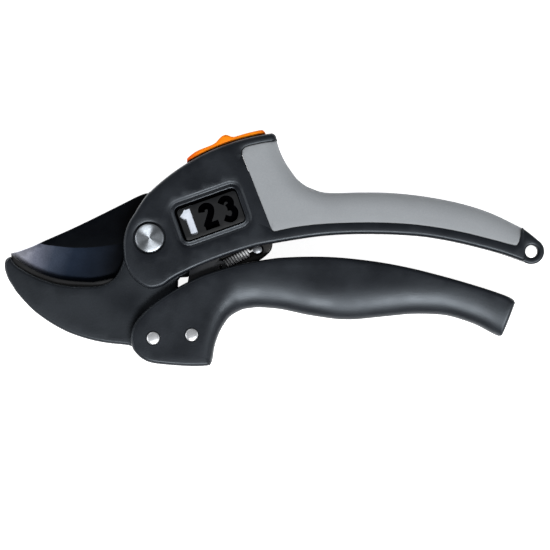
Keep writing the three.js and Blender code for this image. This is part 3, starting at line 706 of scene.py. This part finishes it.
def lower_jaw():
    tail = arc(HANDLE_PIVOT, 6.5, 0.2, -2.2)
    shoulder = [
        (15.2, -10.5), (15, -14.2), (14.4, -14.9), (11.4, -15.1), (10.7, -16.2), (10.6, -19),
        (10, -30),
    ]
    loop = join(LIP, arc(PIVOT, 9.4, 2.9, 0.1), shoulder, tail, JAW_BELLY)

    def face(points):
        rounding = fillet(distance(points, loop), JAW_ROUND)
        radius = np.linalg.norm(points, axis=1)
        nose = (radius > NOSE_CLEAR) & (points[:, 0] < -4)
        rise = np.clip((radius - NOSE_CLEAR) / NOSE_RISE, 0, 1)
        nose_level = CHEEK + (NOSE - CHEEK) * rise * rise * (3 - 2 * rise) - rounding
        return np.where(nose, nose_level, CHEEK - rounding)

    rings = [(loop, True, fillet_rings(JAW_ROUND))]
    body = relief("jaw_casting", loop, face, rings=rings)
    half = ANVIL_HALF + GAP
    trough = join(ANVIL_LINE + (0, 8), (ANVIL_LINE - (0, ANVIL_DEPTH + GAP))[::-1])
    return cut(
        body,
        prism("slot", circle(PIVOT, BLADE_SLOT, 120), -BLADE - GAP, BLADE + GAP),
        prism("trough", trough, -half, half),
        drill(PIVOT, BUSH_BORE),
        drill(HANDLE_PIVOT, TAIL_BORE, 40),
    )


def anvil():
    top = ANVIL_LINE[1:-1] + (0, ANVIL_RISE)
    loop = join(top, (ANVIL_LINE[1:-1] - (0, ANVIL_DEPTH))[::-1])
    rings = [(loop, True, fillet_rings(ANVIL_ROUND, 3))]
    body = relief("anvil_strip", loop, edged(ANVIL_HALF, loop, ANVIL_ROUND), rings=rings)
    groove = join(ANVIL_LINE + (0, 4), (ANVIL_LINE - (0, GAP))[::-1])
    return cut(body, prism("groove", groove, -BLADE - GAP, BLADE + GAP))


# ---- lower handle
HANDLE_BACK = smooth([
    (-7.3, -38), (-7, -35.5), (-6, -33), (-4, -30.2), (0, -26.2), (5, -22.4), (10, -19.2),
    (15, -16.5), (20, -14.2), (25, -12.5), (30, -11), (35, -9.8), (40, -8.9), (45, -8.1),
    (50, -7.5), (60, -7.1), (70, -7.3), (80, -8.2), (90, -9.6), (100, -11.6), (110, -14.1),
    (120, -16.9), (130, -20), (137, -22.6), (138.8, -24.2), (138.5, -26), (134.9, -35.3),
    (133.5, -37.3), (131.4, -36.8),
])
HANDLE_FINGER = smooth([
    (131.4, -36.8), (125, -33.4), (120, -31.5), (115, -30), (110, -29.2), (100, -29), (90, -29.9),
    (80, -30.9), (75, -31.1), (70, -30.8), (60, -29.3), (50, -27.2), (42, -26.5), (38, -26.8),
    (35, -27.4), (31, -29.6), (29, -31.8), (27, -35), (25.5, -38.5), (24.5, -42), (23.9, -46),
])
HANDLE_TOE = smooth([
    (23.9, -46), (23.3, -47.9), (22, -48.6), (15, -48.8), (5, -48.1), (0, -47.3), (-3, -45.8),
    (-5, -44), (-6.5, -41.8), (-7.3, -38),
])
HANDLE_BAY = np.array([
    (8.5, -70), (9.5, -45.7), (20, -45.5), (22, -40), (24.5, -33.5), (28, -28.5), (34, -24.3),
    (43, -23), (54, -23.6), (56, -20), (56, -2), (-20, -2), (-20, -70),
])
HANDLE_CHANNEL = smooth([
    (60, 0), (61, -20), (65, -25), (75, -26.4), (90, -25.3), (105, -24.6), (115, -26),
    (124, -28), (129, -27), (130, 0),
])
FINGER_ROUND = 13.0
FINGER_FLATNESS = 0.4
SHANK_ROUND = 4.5  # the finger side's rounding over the toe and the shank
HANDLE_ROUND = 1.4
CHANNEL_WALL = 1.4
RIVET_SEAT = 2.75
RIVET_SEAT_DEPTH = 1


def lower_handle():
    loop = join(HANDLE_BACK, HANDLE_FINGER, HANDLE_TOE)
    round_edge = join_open(HANDLE_TOE, HANDLE_BACK)

    def face(points):
        d_finger = distance(points, HANDLE_FINGER, False)
        share = np.clip((points[:, 0] - 22) / 12, 0, 1)
        width = SHANK_ROUND + (FINGER_ROUND - SHANK_ROUND) * share
        drop = fillet(d_finger, width, FINGER_FLATNESS)
        drop += fillet(distance(points, round_edge, False), HANDLE_ROUND)
        return WALL - drop

    rings = [
        (HANDLE_FINGER, False, fillet_rings(FINGER_ROUND, 10)),
        (round_edge, False, fillet_rings(HANDLE_ROUND)),
    ]
    body = relief("handle_shell", loop, face, rings=rings, sharp=40)
    channel_half = WALL_INNER - CHANNEL_WALL
    cutters = [
        prism("bay", HANDLE_BAY, -WALL_INNER, WALL_INNER),
        prism("channel", HANDLE_CHANNEL, -channel_half, channel_half),
    ]
    cutters += [drill(place, RIVET_BORE, 32) for place in (HANDLE_PIVOT, LINK_PIVOT)]
    for place in (HANDLE_PIVOT, LINK_PIVOT):
        ring = circle(place, RIVET_SEAT, 40)
        cutters.append(prism("seat", ring, WALL - RIVET_SEAT_DEPTH, THROUGH))
        cutters.append(prism("seat", ring, -THROUGH, RIVET_SEAT_DEPTH - WALL))
    return cut(body, *cutters, sharp=40)


# ---- lock button
LOCK_HALF = 8.2
LOCK_TOP_ROUND = 1.0
LOCK_UNDER_ROUND = 0.4
STEM_HALF = 2.2
BUTTON_TOP = smooth([
    (14.2, 30.0), (14.7, 30.7), (18, 33.1), (24.2, 35.7), (26.1, 37.4), (27.4, 38.7), (29, 39.3),
    (30.4, 38.9), (32, 38.5), (37, 39.9), (42.2, 41.05), (43.5, 40.7), (44.1, 39.7),
])


def lock_button():
    under = arc(CROWN_CENTRE, CROWN_RADIUS + 0.3, crown(44.1, 81.3), crown(14.2, 81.3))
    loop = join(under, BUTTON_TOP)

    def face(points):
        d_top = distance(points, BUTTON_TOP, False)
        d_under = distance(points, under, False)
        return LOCK_HALF - fillet(d_top, LOCK_TOP_ROUND, 0.8) - fillet(d_under, LOCK_UNDER_ROUND)

    rings = [
        (BUTTON_TOP, False, fillet_rings(LOCK_TOP_ROUND)),
        (under, False, fillet_rings(LOCK_UNDER_ROUND, 3)),
    ]
    body = relief("lock_slider", loop, face, rings=rings, grid=2, sharp=40)
    stem = join(
        arc(CROWN_CENTRE, CROWN_RADIUS + 0.9, crown(24), crown(36), 1),
        arc(CROWN_CENTRE, CROWN_RADIUS - 5.5, crown(36), crown(24), 1),
    )
    return cut(body, prism("stem", stem, -STEM_HALF, STEM_HALF), sharp=40, operation="UNION")


# ---- window
PLATE_LOW = 9.0
PLATE_ROUND = 0.15
FLAG_LOW = 8.1
FLAG_THICKNESS = 0.6
FLAG_ROUND = 0.12
FIGURE_SCALE = 1.06
FIGURES = [  # place along the window, width of the stroke, strokes
    (-8.4, 2.6, [[(0.5, -4.7), (0.5, 4.7)], [(0.7, 4.0), (-1.9, 1.9)]]),
    (-0.6, 2.55, [
        [(-2, 1.9), (-1.6, 3.1), (-0.2, 3.7), (1.2, 3.1), (1.5, 1.8), (0.8, 0.2), (-0.6, -1.7),
         (-2, -3.7)],
        [(-2.5, -3.6), (2.7, -3.6)],
    ]),
    (7.3, 2.45, [
        [(-2.1, 2.5), (-0.9, 3.7), (0.6, 3.7), (1.6, 2.6), (1.3, 1.2), (-0.3, 0.5)],
        [(-0.3, 0.5), (1.3, 0.1), (2, -1.6), (1.1, -3.4), (-0.5, -3.8), (-2.2, -2.6)],
    ]),
]


def window_point(along, across):
    cos, sin = math.cos(WINDOW_TILT), math.sin(WINDOW_TILT)
    return WINDOW + (along * cos - across * sin, along * sin + across * cos)


def stroke_loop(points, width):
    line = smooth(points, 0.4)
    return join(offset_line(line, width / 2), offset_line(line, -width / 2)[::-1])


def number_plate():
    loop = tilted_box(window_point(0.3, -0.45), 23.8, 12.4, 1.5, WINDOW_TILT)
    figures = []
    for along, width, strokes in FIGURES:
        for points in strokes:
            placed = [
                window_point(along + FIGURE_SCALE * u, FIGURE_SCALE * v - 0.2) for u, v in points
            ]
            figures.append(stroke_loop(placed, width))
    rings = [(loop, True, [0.08, PLATE_ROUND])]
    face = edged(PLATE_TOP, loop, PLATE_ROUND)
    return relief("figure_plate", loop, face, flat(PLATE_LOW), figures, rings, sharp=25)


def step_indicator():
    loop = tilted_box(window_point(-7.9, 0), 6.4, 11.6, 0.6, WINDOW_TILT)
    face = edged(FLAG_LOW + FLAG_THICKNESS, loop, FLAG_ROUND)
    rings = [(loop, True, [0.06, FLAG_ROUND])]
    return relief("step_flag", loop, face, flat(FLAG_LOW), rings=rings)


# ---- turned pieces
def pivot_bolt():
    top, under, end = WALL + 0.4, WALL - 1.3, 1.5 - WALL_INNER
    return turned("pivot_screw", PIVOT, [
        (0, end), (1.7, end), (2, end + 0.3), (2, under), (5.2, under), (5.4, under + 0.2),
        (5.4, top - 0.5), (5.32, top - 0.24), (5.1, top - 0.06), (4.8, top), (3.2, top - 0.14),
        (1.6, top - 0.26), (0, top - 0.32),
    ], 96)


def pivot_nut():
    flange, top = 2 - WALL, WALL - 1.6
    return turned("pivot_sleeve", PIVOT, [
        (0, 0.45 - WALL), (2.6, 0.45 - WALL), (2.9, -WALL), (4.9, -WALL), (5.3, 0.25 - WALL),
        (5.4, 0.6 - WALL), (5.4, flange), (3.4, flange), (3.4, top), (2.3, top),
        (2.3, 1.2 - WALL_INNER), (0, 1.2 - WALL_INNER),
    ], 96)


def rivet(name, centre):
    top, seat = WALL + 0.4, WALL - 0.7
    profile = [(1.9, seat), (2.45, seat), (2.45, top - 0.6)]
    for angle in np.linspace(0.1, 1.4, 8):
        profile.append((2.4 * math.cos(angle), top - 0.55 + 0.55 * math.sin(angle)))
    profile.append((0, top))
    low = [(r, -z) for r, z in profile[::-1]]
    low = [(r, max(z, -WALL)) for r, z in low]
    return turned(name, centre, low + profile, 56)


def shell_screw(name, centre):
    low = GRIP_WALL + GAP - WALL
    body = turned(name, centre, [
        (0, low), (2.2, low), (2.5, low + 0.2), (2.6, low + 0.5), (2.6, low + 2), (1.4, low + 2),
        (1.4, WALL_INNER - 0.6), (1, WALL_INNER), (0, WALL_INNER),
    ], 40)
    for turn in (0.4, 0.4 + math.pi / 2):
        arm = tilted_box(np.array(centre), 3.1, 0.75, 0.25, turn)
        cut(body, prism("recess", arm, low - 1, low + 1.1))
    return body


def spring_anchor():
    return turned("spring_post", (41, -4.4), [
        (0, -1.7), (0.9, -1.7), (0.9, 3.8), (1.5, 3.85), (1.7, 4.05), (1.7, 4.25), (1.45, 4.4),
        (0, 4.5),
    ], 40)


# ---- link, carrier and spring
EAR = np.array([26.9, -11.0])
LINK_HALF = 5.15
SPRING_START = np.array([27.6, -10.4])
SPRING_END = np.array([37.4, -5.6])
SPRING_ANCHOR = np.array([41.0, -4.4])
SPRING_LEVEL = 2.9
COIL_RADIUS = 1.42
WIRE_RADIUS = 0.36
COIL_TURNS = 10
TURN_POINTS = 20
CARRIER_PIN = (43.6, 0.6)
CARRIER_ROUND = 0.7
LINK_ROUND = 0.3
EYE_RADIUS = 0.9


def link_plate(name, low, high, ear):
    lean = math.atan2(*(FIRST_NOTCH - LINK_PIVOT)[::-1])
    ends = arc(FIRST_NOTCH, LINK_HALF, lean + math.pi / 2, lean - math.pi / 2)
    foot = arc(LINK_PIVOT, LINK_HALF, lean - math.pi / 2, lean - 1.5 * math.pi)
    loop = join(ends, foot)

    def back(points):
        return low + fillet(distance(points, loop), LINK_ROUND)

    holes = [circle(FIRST_NOTCH, 1.43, 28), circle(LINK_PIVOT, RIVET_BORE, 32)]
    rings = [(loop, True, fillet_rings(LINK_ROUND, 3))]
    body = relief(name, loop, edged(high, loop, LINK_ROUND), back, holes, rings)
    if not ear:
        return body
    lug = prism("lug", circle(EAR, 2.3, 40), low + 0.05, high - 0.05)
    cut(body, lug, operation="UNION")
    return cut(body, prism("eye", circle(EAR, EYE_RADIUS, 24), low - 1, high + 1))


def spring_carrier():
    loop = join(smooth([
        (24.9, -11.6), (25, -7), (28, -1.5), (33, 2.2), (38, 4), (42, 4.6), (45.2, 3.3),
        (46.6, 0.4), (46.8, -2.2), (46.2, -4.6), (44.4, -6.6), (41, -9), (34, -12.6), (30, -14.2),
        (27.6, -14.2), (25.8, -13.2), (24.9, -11.6),
    ]))
    slant = math.atan2(*(SPRING_END - SPRING_START)[::-1])
    middle = (SPRING_START + SPRING_ANCHOR) / 2 - (1.5, 0.4)
    floor = SPRING_LEVEL - 1.9
    trough = tilted_box(middle, 19, 4.4, 1.2, slant)
    pockets = [(trough, floor), (circle(SPRING_ANCHOR, 2.4, 40), floor)]

    def rounding(points):
        return fillet(distance(points, loop), CARRIER_ROUND)

    body = relief(
        "carrier_block", loop, lambda points: sunk(CHEEK - rounding(points), points, pockets),
        lambda points: rounding(points) - CHEEK, grid=2, marks=pocket_marks(pockets),
        rings=[(loop, True, fillet_rings(CARRIER_ROUND, 3))],
    )
    return cut(
        body,
        drill(CARRIER_PIN, 1.6, 28),
        prism("post_bore", circle(SPRING_ANCHOR, 1.2, 28), -2, 3),
    )


def step_spring():
    """A close coil with a hook into the link's ear and a loop round the anchor post."""
    span = SPRING_END - SPRING_START
    length = np.linalg.norm(span)
    along = span / length
    across = np.array([-along[1], along[0]])
    path = []
    for k in range(11):
        angle = math.radians(230 - 23 * k)
        hook = EAR + 0.95 * np.array([math.cos(angle), math.sin(angle)])
        path.append((*hook, 4.1 - 0.09 * k))
    for i in range(COIL_TURNS * TURN_POINTS + 1):
        t = i / (COIL_TURNS * TURN_POINTS)
        angle = TAU * COIL_TURNS * t + math.pi / 2
        point = SPRING_START + along * (length * t + 0.6) + across * COIL_RADIUS * math.cos(angle)
        path.append((*point, SPRING_LEVEL + COIL_RADIUS * math.sin(angle)))
    start = math.atan2(along[1], along[0]) + math.radians(150)
    for k in range(16):
        angle = start - math.radians(20 * k)
        point = SPRING_ANCHOR + 1.3 * np.array([math.cos(angle), math.sin(angle)])
        path.append((*point, SPRING_LEVEL + 0.2))
    return tube("step_coil", path, WIRE_RADIUS)


# ---- materials
def srgb(*rgb):
    """A colour of 0 to 255 as Blender's linear numbers."""
    return (*[((c / 255 + 0.055) / 1.055) ** 2.4 if c > 10 else c / 255 / 12.92 for c in rgb], 1)


FINE_SHARE = 0.55  # of the fine pattern in the colour


class Finish:
    """A material whose colour, roughness and relief vary over the piece.

    dark and light are the ends of the colour's range, grain and cloud the sizes in metres of its
    fine and its slow pattern, relief_height the height of the grain, and spread how far the
    roughness goes up and down. The rest are sockets of the shader.
    """

    def __init__(self, name, dark, light, roughness, grain=0.0004, relief_height=0.00002,
                 cloud=0.012, spread=0.06, **sockets):
        self.material = bpy.data.materials.new(name)
        self.material.use_nodes = True
        self.tree = self.material.node_tree
        self.shader = self.tree.nodes["Principled BSDF"]
        coordinates = self.add("ShaderNodeTexCoord")
        self.place = coordinates.outputs["Object"]
        self.fine = self.noise(1 / grain, 2)
        self.slow = self.noise(1 / cloud, 3)
        blend = self.add("ShaderNodeMath", operation="MULTIPLY_ADD")
        self.link(self.fine, blend.inputs[0])
        blend.inputs[1].default_value = FINE_SHARE
        blend.inputs[2].default_value = 0.0
        total = self.add("ShaderNodeMath", operation="MULTIPLY_ADD")
        self.link(self.slow, total.inputs[0])
        total.inputs[1].default_value = 1 - FINE_SHARE
        self.link(blend.outputs[0], total.inputs[2])
        self.colour = self.ramp(total.outputs[0], [(0.36, srgb(*dark)), (0.64, srgb(*light))])
        self.link(self.colour, self.shader.inputs["Base Color"])
        rough = self.remap(self.slow, 0.3, 0.7, roughness - spread, roughness + spread)
        self.link(rough, self.shader.inputs["Roughness"])
        self.bump(self.fine, relief_height)
        for key, value in sockets.items():
            self.shader.inputs[key.replace("_", " ")].default_value = value

    def add(self, kind, **settings):
        node = self.tree.nodes.new(kind)
        for key, value in settings.items():
            setattr(node, key, value)
        return node

    def link(self, source, target):
        self.tree.links.new(source, target)

    def noise(self, scale, detail, stretch=None):
        node = self.add("ShaderNodeTexNoise")
        node.inputs["Scale"].default_value = scale
        node.inputs["Detail"].default_value = detail
        if stretch is None:
            self.link(self.place, node.inputs["Vector"])
        else:
            mapping = self.add("ShaderNodeMapping")
            mapping.inputs["Scale"].default_value = stretch
            self.link(self.place, mapping.inputs["Vector"])
            self.link(mapping.outputs[0], node.inputs["Vector"])
        return node.outputs["Fac"]

    def ramp(self, value, stops):
        node = self.add("ShaderNodeValToRGB")
        elements = node.color_ramp.elements
        while len(elements) < len(stops):
            elements.new(0.5)
        for element, (position, colour) in zip(elements, stops):
            element.position = position
            element.color = colour
        self.link(value, node.inputs["Fac"])
        return node.outputs["Color"]

    def bump(self, height, size):
        node = self.add("ShaderNodeBump")
        node.inputs["Strength"].default_value = 1.0
        node.inputs["Distance"].default_value = size
        self.link(height, node.inputs["Height"])
        self.link(node.outputs["Normal"], self.shader.inputs["Normal"])

    def along(self, direction, start, end):
        """0 at start and 1 at end, in millimetres along a direction."""
        dot = self.add("ShaderNodeVectorMath", operation="DOT_PRODUCT")
        self.link(self.place, dot.inputs[0])
        dot.inputs[1].default_value = direction
        return self.remap(dot.outputs["Value"], start * MM, end * MM, 0, 1)

    def remap(self, value, *limits):
        """limits are the two ends of the range taken in, and the two of the range given out."""
        node = self.add("ShaderNodeMapRange")
        self.link(value, node.inputs["Value"])
        for name, limit in zip(("From Min", "From Max", "To Min", "To Max"), limits):
            node.inputs[name].default_value = limit
        return node.outputs[0]

    def tint(self, value, stops):
        """Multiplies the colour by a ramp."""
        mix = self.add("ShaderNodeMix", data_type="RGBA", blend_type="MULTIPLY")
        mix.inputs[0].default_value = 1.0
        self.link(self.colour, mix.inputs[6])
        self.link(self.ramp(value, stops), mix.inputs[7])
        self.colour = mix.outputs[2]
        self.link(self.colour, self.shader.inputs["Base Color"])


SOFT_SHINE = {"Specular_IOR_Level": 0.45, "Specular_Tint": (0.82, 0.91, 1, 1)}
METAL = {"Metallic": 1.0}
FINISHES = {  # dark, light, roughness, grain, relief_height, other settings
    "moulded_black": ((11, 13, 18), (20, 23, 29), 0.38, 0.00045, 0.00003, SOFT_SHINE),
    "jaw_coat": ((9, 12, 17), (17, 20, 26), 0.47, 0.0005, 0.00003, SOFT_SHINE),
    "soft_rubber": ((141, 145, 149), (147, 151, 155), 0.7, 0.0005, 0.00002,
                    {"Specular_IOR_Level": 0.2}),
    "orange_plastic": ((255, 130, 4), (255, 148, 12), 0.42, 0.0006, 0.00001,
                       {"Specular_IOR_Level": 0.2}),
    "blade_coat": ((1, 2, 5), (2, 5, 10), 0.28, 0.0007, 0.000004,
                   {"spread": 0.04, "Specular_IOR_Level": 0.15}),
    # the bevel's pale colour is the bright end of a painted reflection, darkened towards the pivot
    "ground_bevel": ((206, 209, 216), (236, 238, 244), 0.36, 0.0005, 0.000004,
                     {"Metallic": 0.65, "Specular_IOR_Level": 0.15}),
    "turned_steel": ((160, 167, 174), (190, 196, 203), 0.4, 0.0004, 0.000001,
                     {"Metallic": 1.0, "Anisotropic": 0.9, "Anisotropic_Rotation": 0.25}),
    "bright_steel": ((206, 209, 213), (236, 238, 241), 0.3, 0.0004, 0.000006, {"Metallic": 0.7}),
    "spring_wire": ((218, 221, 224), (244, 245, 246), 0.5, 0.0004, 0.000006, {"Metallic": 0.1}),
    "plain_steel": ((120, 124, 129), (160, 163, 168), 0.38, 0.0005, 0.00001, METAL),
    "sintered_bronze": ((142, 104, 58), (182, 140, 84), 0.42, 0.0005, 0.00002, METAL),
    "link_coat": ((6, 9, 14), (12, 16, 23), 0.4, 0.0005, 0.00001, {}),
    "carrier_black": ((4, 4, 5), (9, 10, 11), 0.4, 0.0005, 0.00002, {}),
    "plate_grey": ((6, 8, 11), (11, 14, 18), 0.5, 0.0005, 0.00001, {"Specular_IOR_Level": 0.3}),
    # painted shade: near-black for the window's floor
    "window_shade_black": ((1, 1, 2), (3, 3, 4), 0.9, 0.0006, 0.00001, {"Specular_IOR_Level": 0.0}),
    "flag_white": ((205, 213, 226), (222, 228, 238), 0.5, 0.0006, 0.000005, {}),
    "anvil_grey": ((9, 10, 12), (16, 17, 20), 0.5, 0.0005, 0.00001, {}),
}


def finish(name):
    *values, sockets = FINISHES[name]
    return Finish(name, *values, **sockets)


def orange_plastic():
    orange = finish("orange_plastic")
    # Painted shade: the button darkens and reddens towards both ends, most at the left.
    ends = [(0, (0.8, 0.36, 0.6, 1)), (0.2, (1, 0.9, 0.9, 1)), (0.85, (1, 1, 1, 1)),
            (1, (0.88, 0.6, 0.8, 1))]
    orange.tint(orange.along((1, 0, 0), 14, 44), ends)
    return orange


def ground_bevel():
    """Ground steel with fine grinding lines, and a painted reflection: bright at the tip and dark
    towards the pivot.
    """
    bevel = finish("ground_bevel")
    # Painted reflection: the ramp darkens the bright bevel from the tip towards the pivot.
    painted_reflection = [(0, (0.95, 0.95, 1, 1)), (0.12, (0.6, 0.6, 0.66, 1)), (0.26, (0.2, 0.21, 0.26, 1)),
              (0.42, (0.05, 0.063, 0.09, 1)), (0.6, (0.012, 0.02, 0.036, 1)),
              (1, (0.001, 0.002, 0.004, 1))]
    bevel.tint(bevel.along((0.95, -0.3, 0), -50, -10), painted_reflection)
    bevel.bump(bevel.noise(400, 2, (9, 0.5, 1)), 0.000006)
    return bevel


def turned_steel():
    steel = finish("turned_steel")
    tangent = steel.add("ShaderNodeTangent", direction_type="RADIAL", axis="Z")
    steel.link(tangent.outputs[0], steel.shader.inputs["Tangent"])
    return steel


# ---- assembly
def put(obj, body, slot, node, *coats):
    for coat in coats:
        obj.data.materials.append(coat.material)
    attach(obj, body)
    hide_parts(node)
    return obj


def dress(node, coat):
    """A CAD piece that stays as it is takes a finish."""
    for material_slot in frame["nodes"][node].material_slots:
        material_slot.material = coat.material


def paint_window_shade(mesh):
    """Gives the window's floor and the inside of the figures the second finish, a near-black that
    paints the window's shade.
    """
    opening = tilted_box(WINDOW, WINDOW_LENGTH - 0.1, WINDOW_HEIGHT - 0.1, 2, WINDOW_TILT)
    centres = np.array([p.center for p in mesh.polygons]) / MM
    level = centres[:, 2] - LIFT
    deep = (level < WINDOW_FLOOR + 0.05) & (level > WALL_INNER + 0.1)
    painted_shade_faces = deep & inside(centres[:, :2], opening)
    mesh.polygons.foreach_set("material_index", painted_shade_faces.astype(int))


def assemble():
    black, steel, plain = finish("moulded_black"), finish("bright_steel"), finish("plain_steel")
    window_shade = finish("window_shade_black")
    front = put(shell("front_cover", 1), "housing", "housing", "front_shell", black, window_shade)
    # Painted shade: the window's floor takes the near-black second finish.
    paint_window_shade(front.data)
    put(shell("rear_cover", -1), "housing", "housing", "rear_shell", black)
    put(soft_grip(), "housing", "grip", "soft_grip", finish("soft_rubber"))
    put(number_plate(), "housing", "number_plate", "number_plate", finish("plate_grey"))
    put(step_indicator(), "indicator", "indicator", "step_indicator", finish("flag_white"))
    steel_blade = put(blade(), "housing", "blade", "blade", finish("blade_coat"), ground_bevel())
    middles = np.array([p.center[:2] for p in steel_blade.data.polygons]) / MM
    ground = (grind_share(middles) < 0.998).astype(int)
    steel_blade.data.polygons.foreach_set("material_index", ground)
    put(lower_jaw(), "jaw", "jaw", "lower_jaw", finish("jaw_coat"))
    put(anvil(), "jaw", "anvil", "anvil", finish("anvil_grey"))
    put(lower_handle(), "handle", "handle", "lower_handle", black)
    put(lock_button(), "lock", "lock", "lock_button", orange_plastic())
    put(pivot_bolt(), "housing", "steel", "pivot_bolt", turned_steel())
    put(pivot_nut(), "housing", "steel", "pivot_nut", turned_steel())
    put(rivet("handle_pin", HANDLE_PIVOT), "handle", "steel", "handle_rivet", steel)
    put(rivet("link_pin", LINK_PIVOT), "handle", "steel", "link_rivet", steel)
    for i, place in enumerate(SCREWS, 1):
        put(shell_screw(f"cover_screw_{i}", place), "housing", "steel", f"shell_screw_{i}", plain)
    navy = finish("link_coat")
    put(link_plate("link_upper", LINK - 1.6, LINK, True), "link", "link", "link_front", navy)
    put(link_plate("link_lower", -LINK, 1.6 - LINK, False), "link", "link", "link_rear", navy)
    put(spring_carrier(), "housing", "carrier", "spring_carrier", finish("carrier_black"))
    put(spring_anchor(), "housing", "steel", "spring_anchor", plain)
    coil = put(step_spring(), "housing", "spring", "step_spring", finish("spring_wire"))
    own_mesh(coil)
    bronze = finish("sintered_bronze")
    for node in ("pivot_bush", "tail_bush"):
        dress(node, bronze)
    for node in ("blade_pin_1", "blade_pin_2", "lock_latch", "lock_detent", "link_spacer",
                 "step_pin", "carrier_pin", "anvil_screw"):
        dress(node, plain)


# ---- studio
CENTRE = Vector((0.0477, -0.0141, 0.0195))
FRAME_WIDTH = 0.209
SENSOR = 36.0
LENS = 300.0
LIGHTS = [  # name, place, size across and along, power
    ("band", (0.25, -0.75, 1.2), (1.0, 0.25), 22),
    ("low_front", (0.05, -1.1, 0.35), (1.4, 0.3), 0.5),
    ("left", (-1.0, -0.15, 0.6), (0.8, 0.6), 4),
    ("right", (1.1, 0.0, 0.6), (0.8, 0.6), 2),
    ("rim", (-0.45, 0.75, 0.6), (0.7, 0.3), 0.8),
]


def add_floor():
    mesh = bpy.data.meshes.new("floor")
    half = 3.0
    mesh.from_pydata([(-half, -half, 0), (half, -half, 0), (half, half, 0), (-half, half, 0)], [],
                     [(0, 1, 2, 3)])
    floor = bpy.data.objects.new("floor", mesh)
    bpy.context.scene.collection.objects.link(floor)
    paper = Finish(
        "floor_paper", (244, 244, 244), (248, 248, 248), 0.9, 0.002, 0.00001, 0.2,
        Emission_Color=(1, 1, 1, 1), Emission_Strength=0.92, Specular_IOR_Level=0.0,
    )
    floor.data.materials.append(paper.material)


def add_light(name, place, size, power):
    """A soft rectangular light. size is (across, along) in metres."""
    light = bpy.data.lights.new(name, "AREA")
    light.shape = "RECTANGLE"
    light.size, light.size_y = size
    light.energy = power
    obj = bpy.data.objects.new(name, light)
    obj.location = place
    obj.rotation_euler = (CENTRE - Vector(place)).to_track_quat("-Z", "Y").to_euler()
    bpy.context.scene.collection.objects.link(obj)


def add_studio():
    scene = bpy.context.scene
    scene.view_settings.view_transform = "Standard"
    world = bpy.data.worlds.new("studio")
    world.use_nodes = True
    background = world.node_tree.nodes["Background"]
    background.inputs["Color"].default_value = (1, 1, 1, 1)
    background.inputs["Strength"].default_value = 0.13
    scene.world = world
    for light in LIGHTS:
        add_light(*light)
    camera = bpy.data.cameras.new("camera")
    camera.lens = LENS
    camera.sensor_width = SENSOR
    obj = bpy.data.objects.new("camera", camera)
    obj.location = CENTRE + Vector((0, 0, FRAME_WIDTH * LENS / SENSOR))
    scene.collection.objects.link(obj)
    scene.camera = obj


assemble()
add_floor()
add_studio()
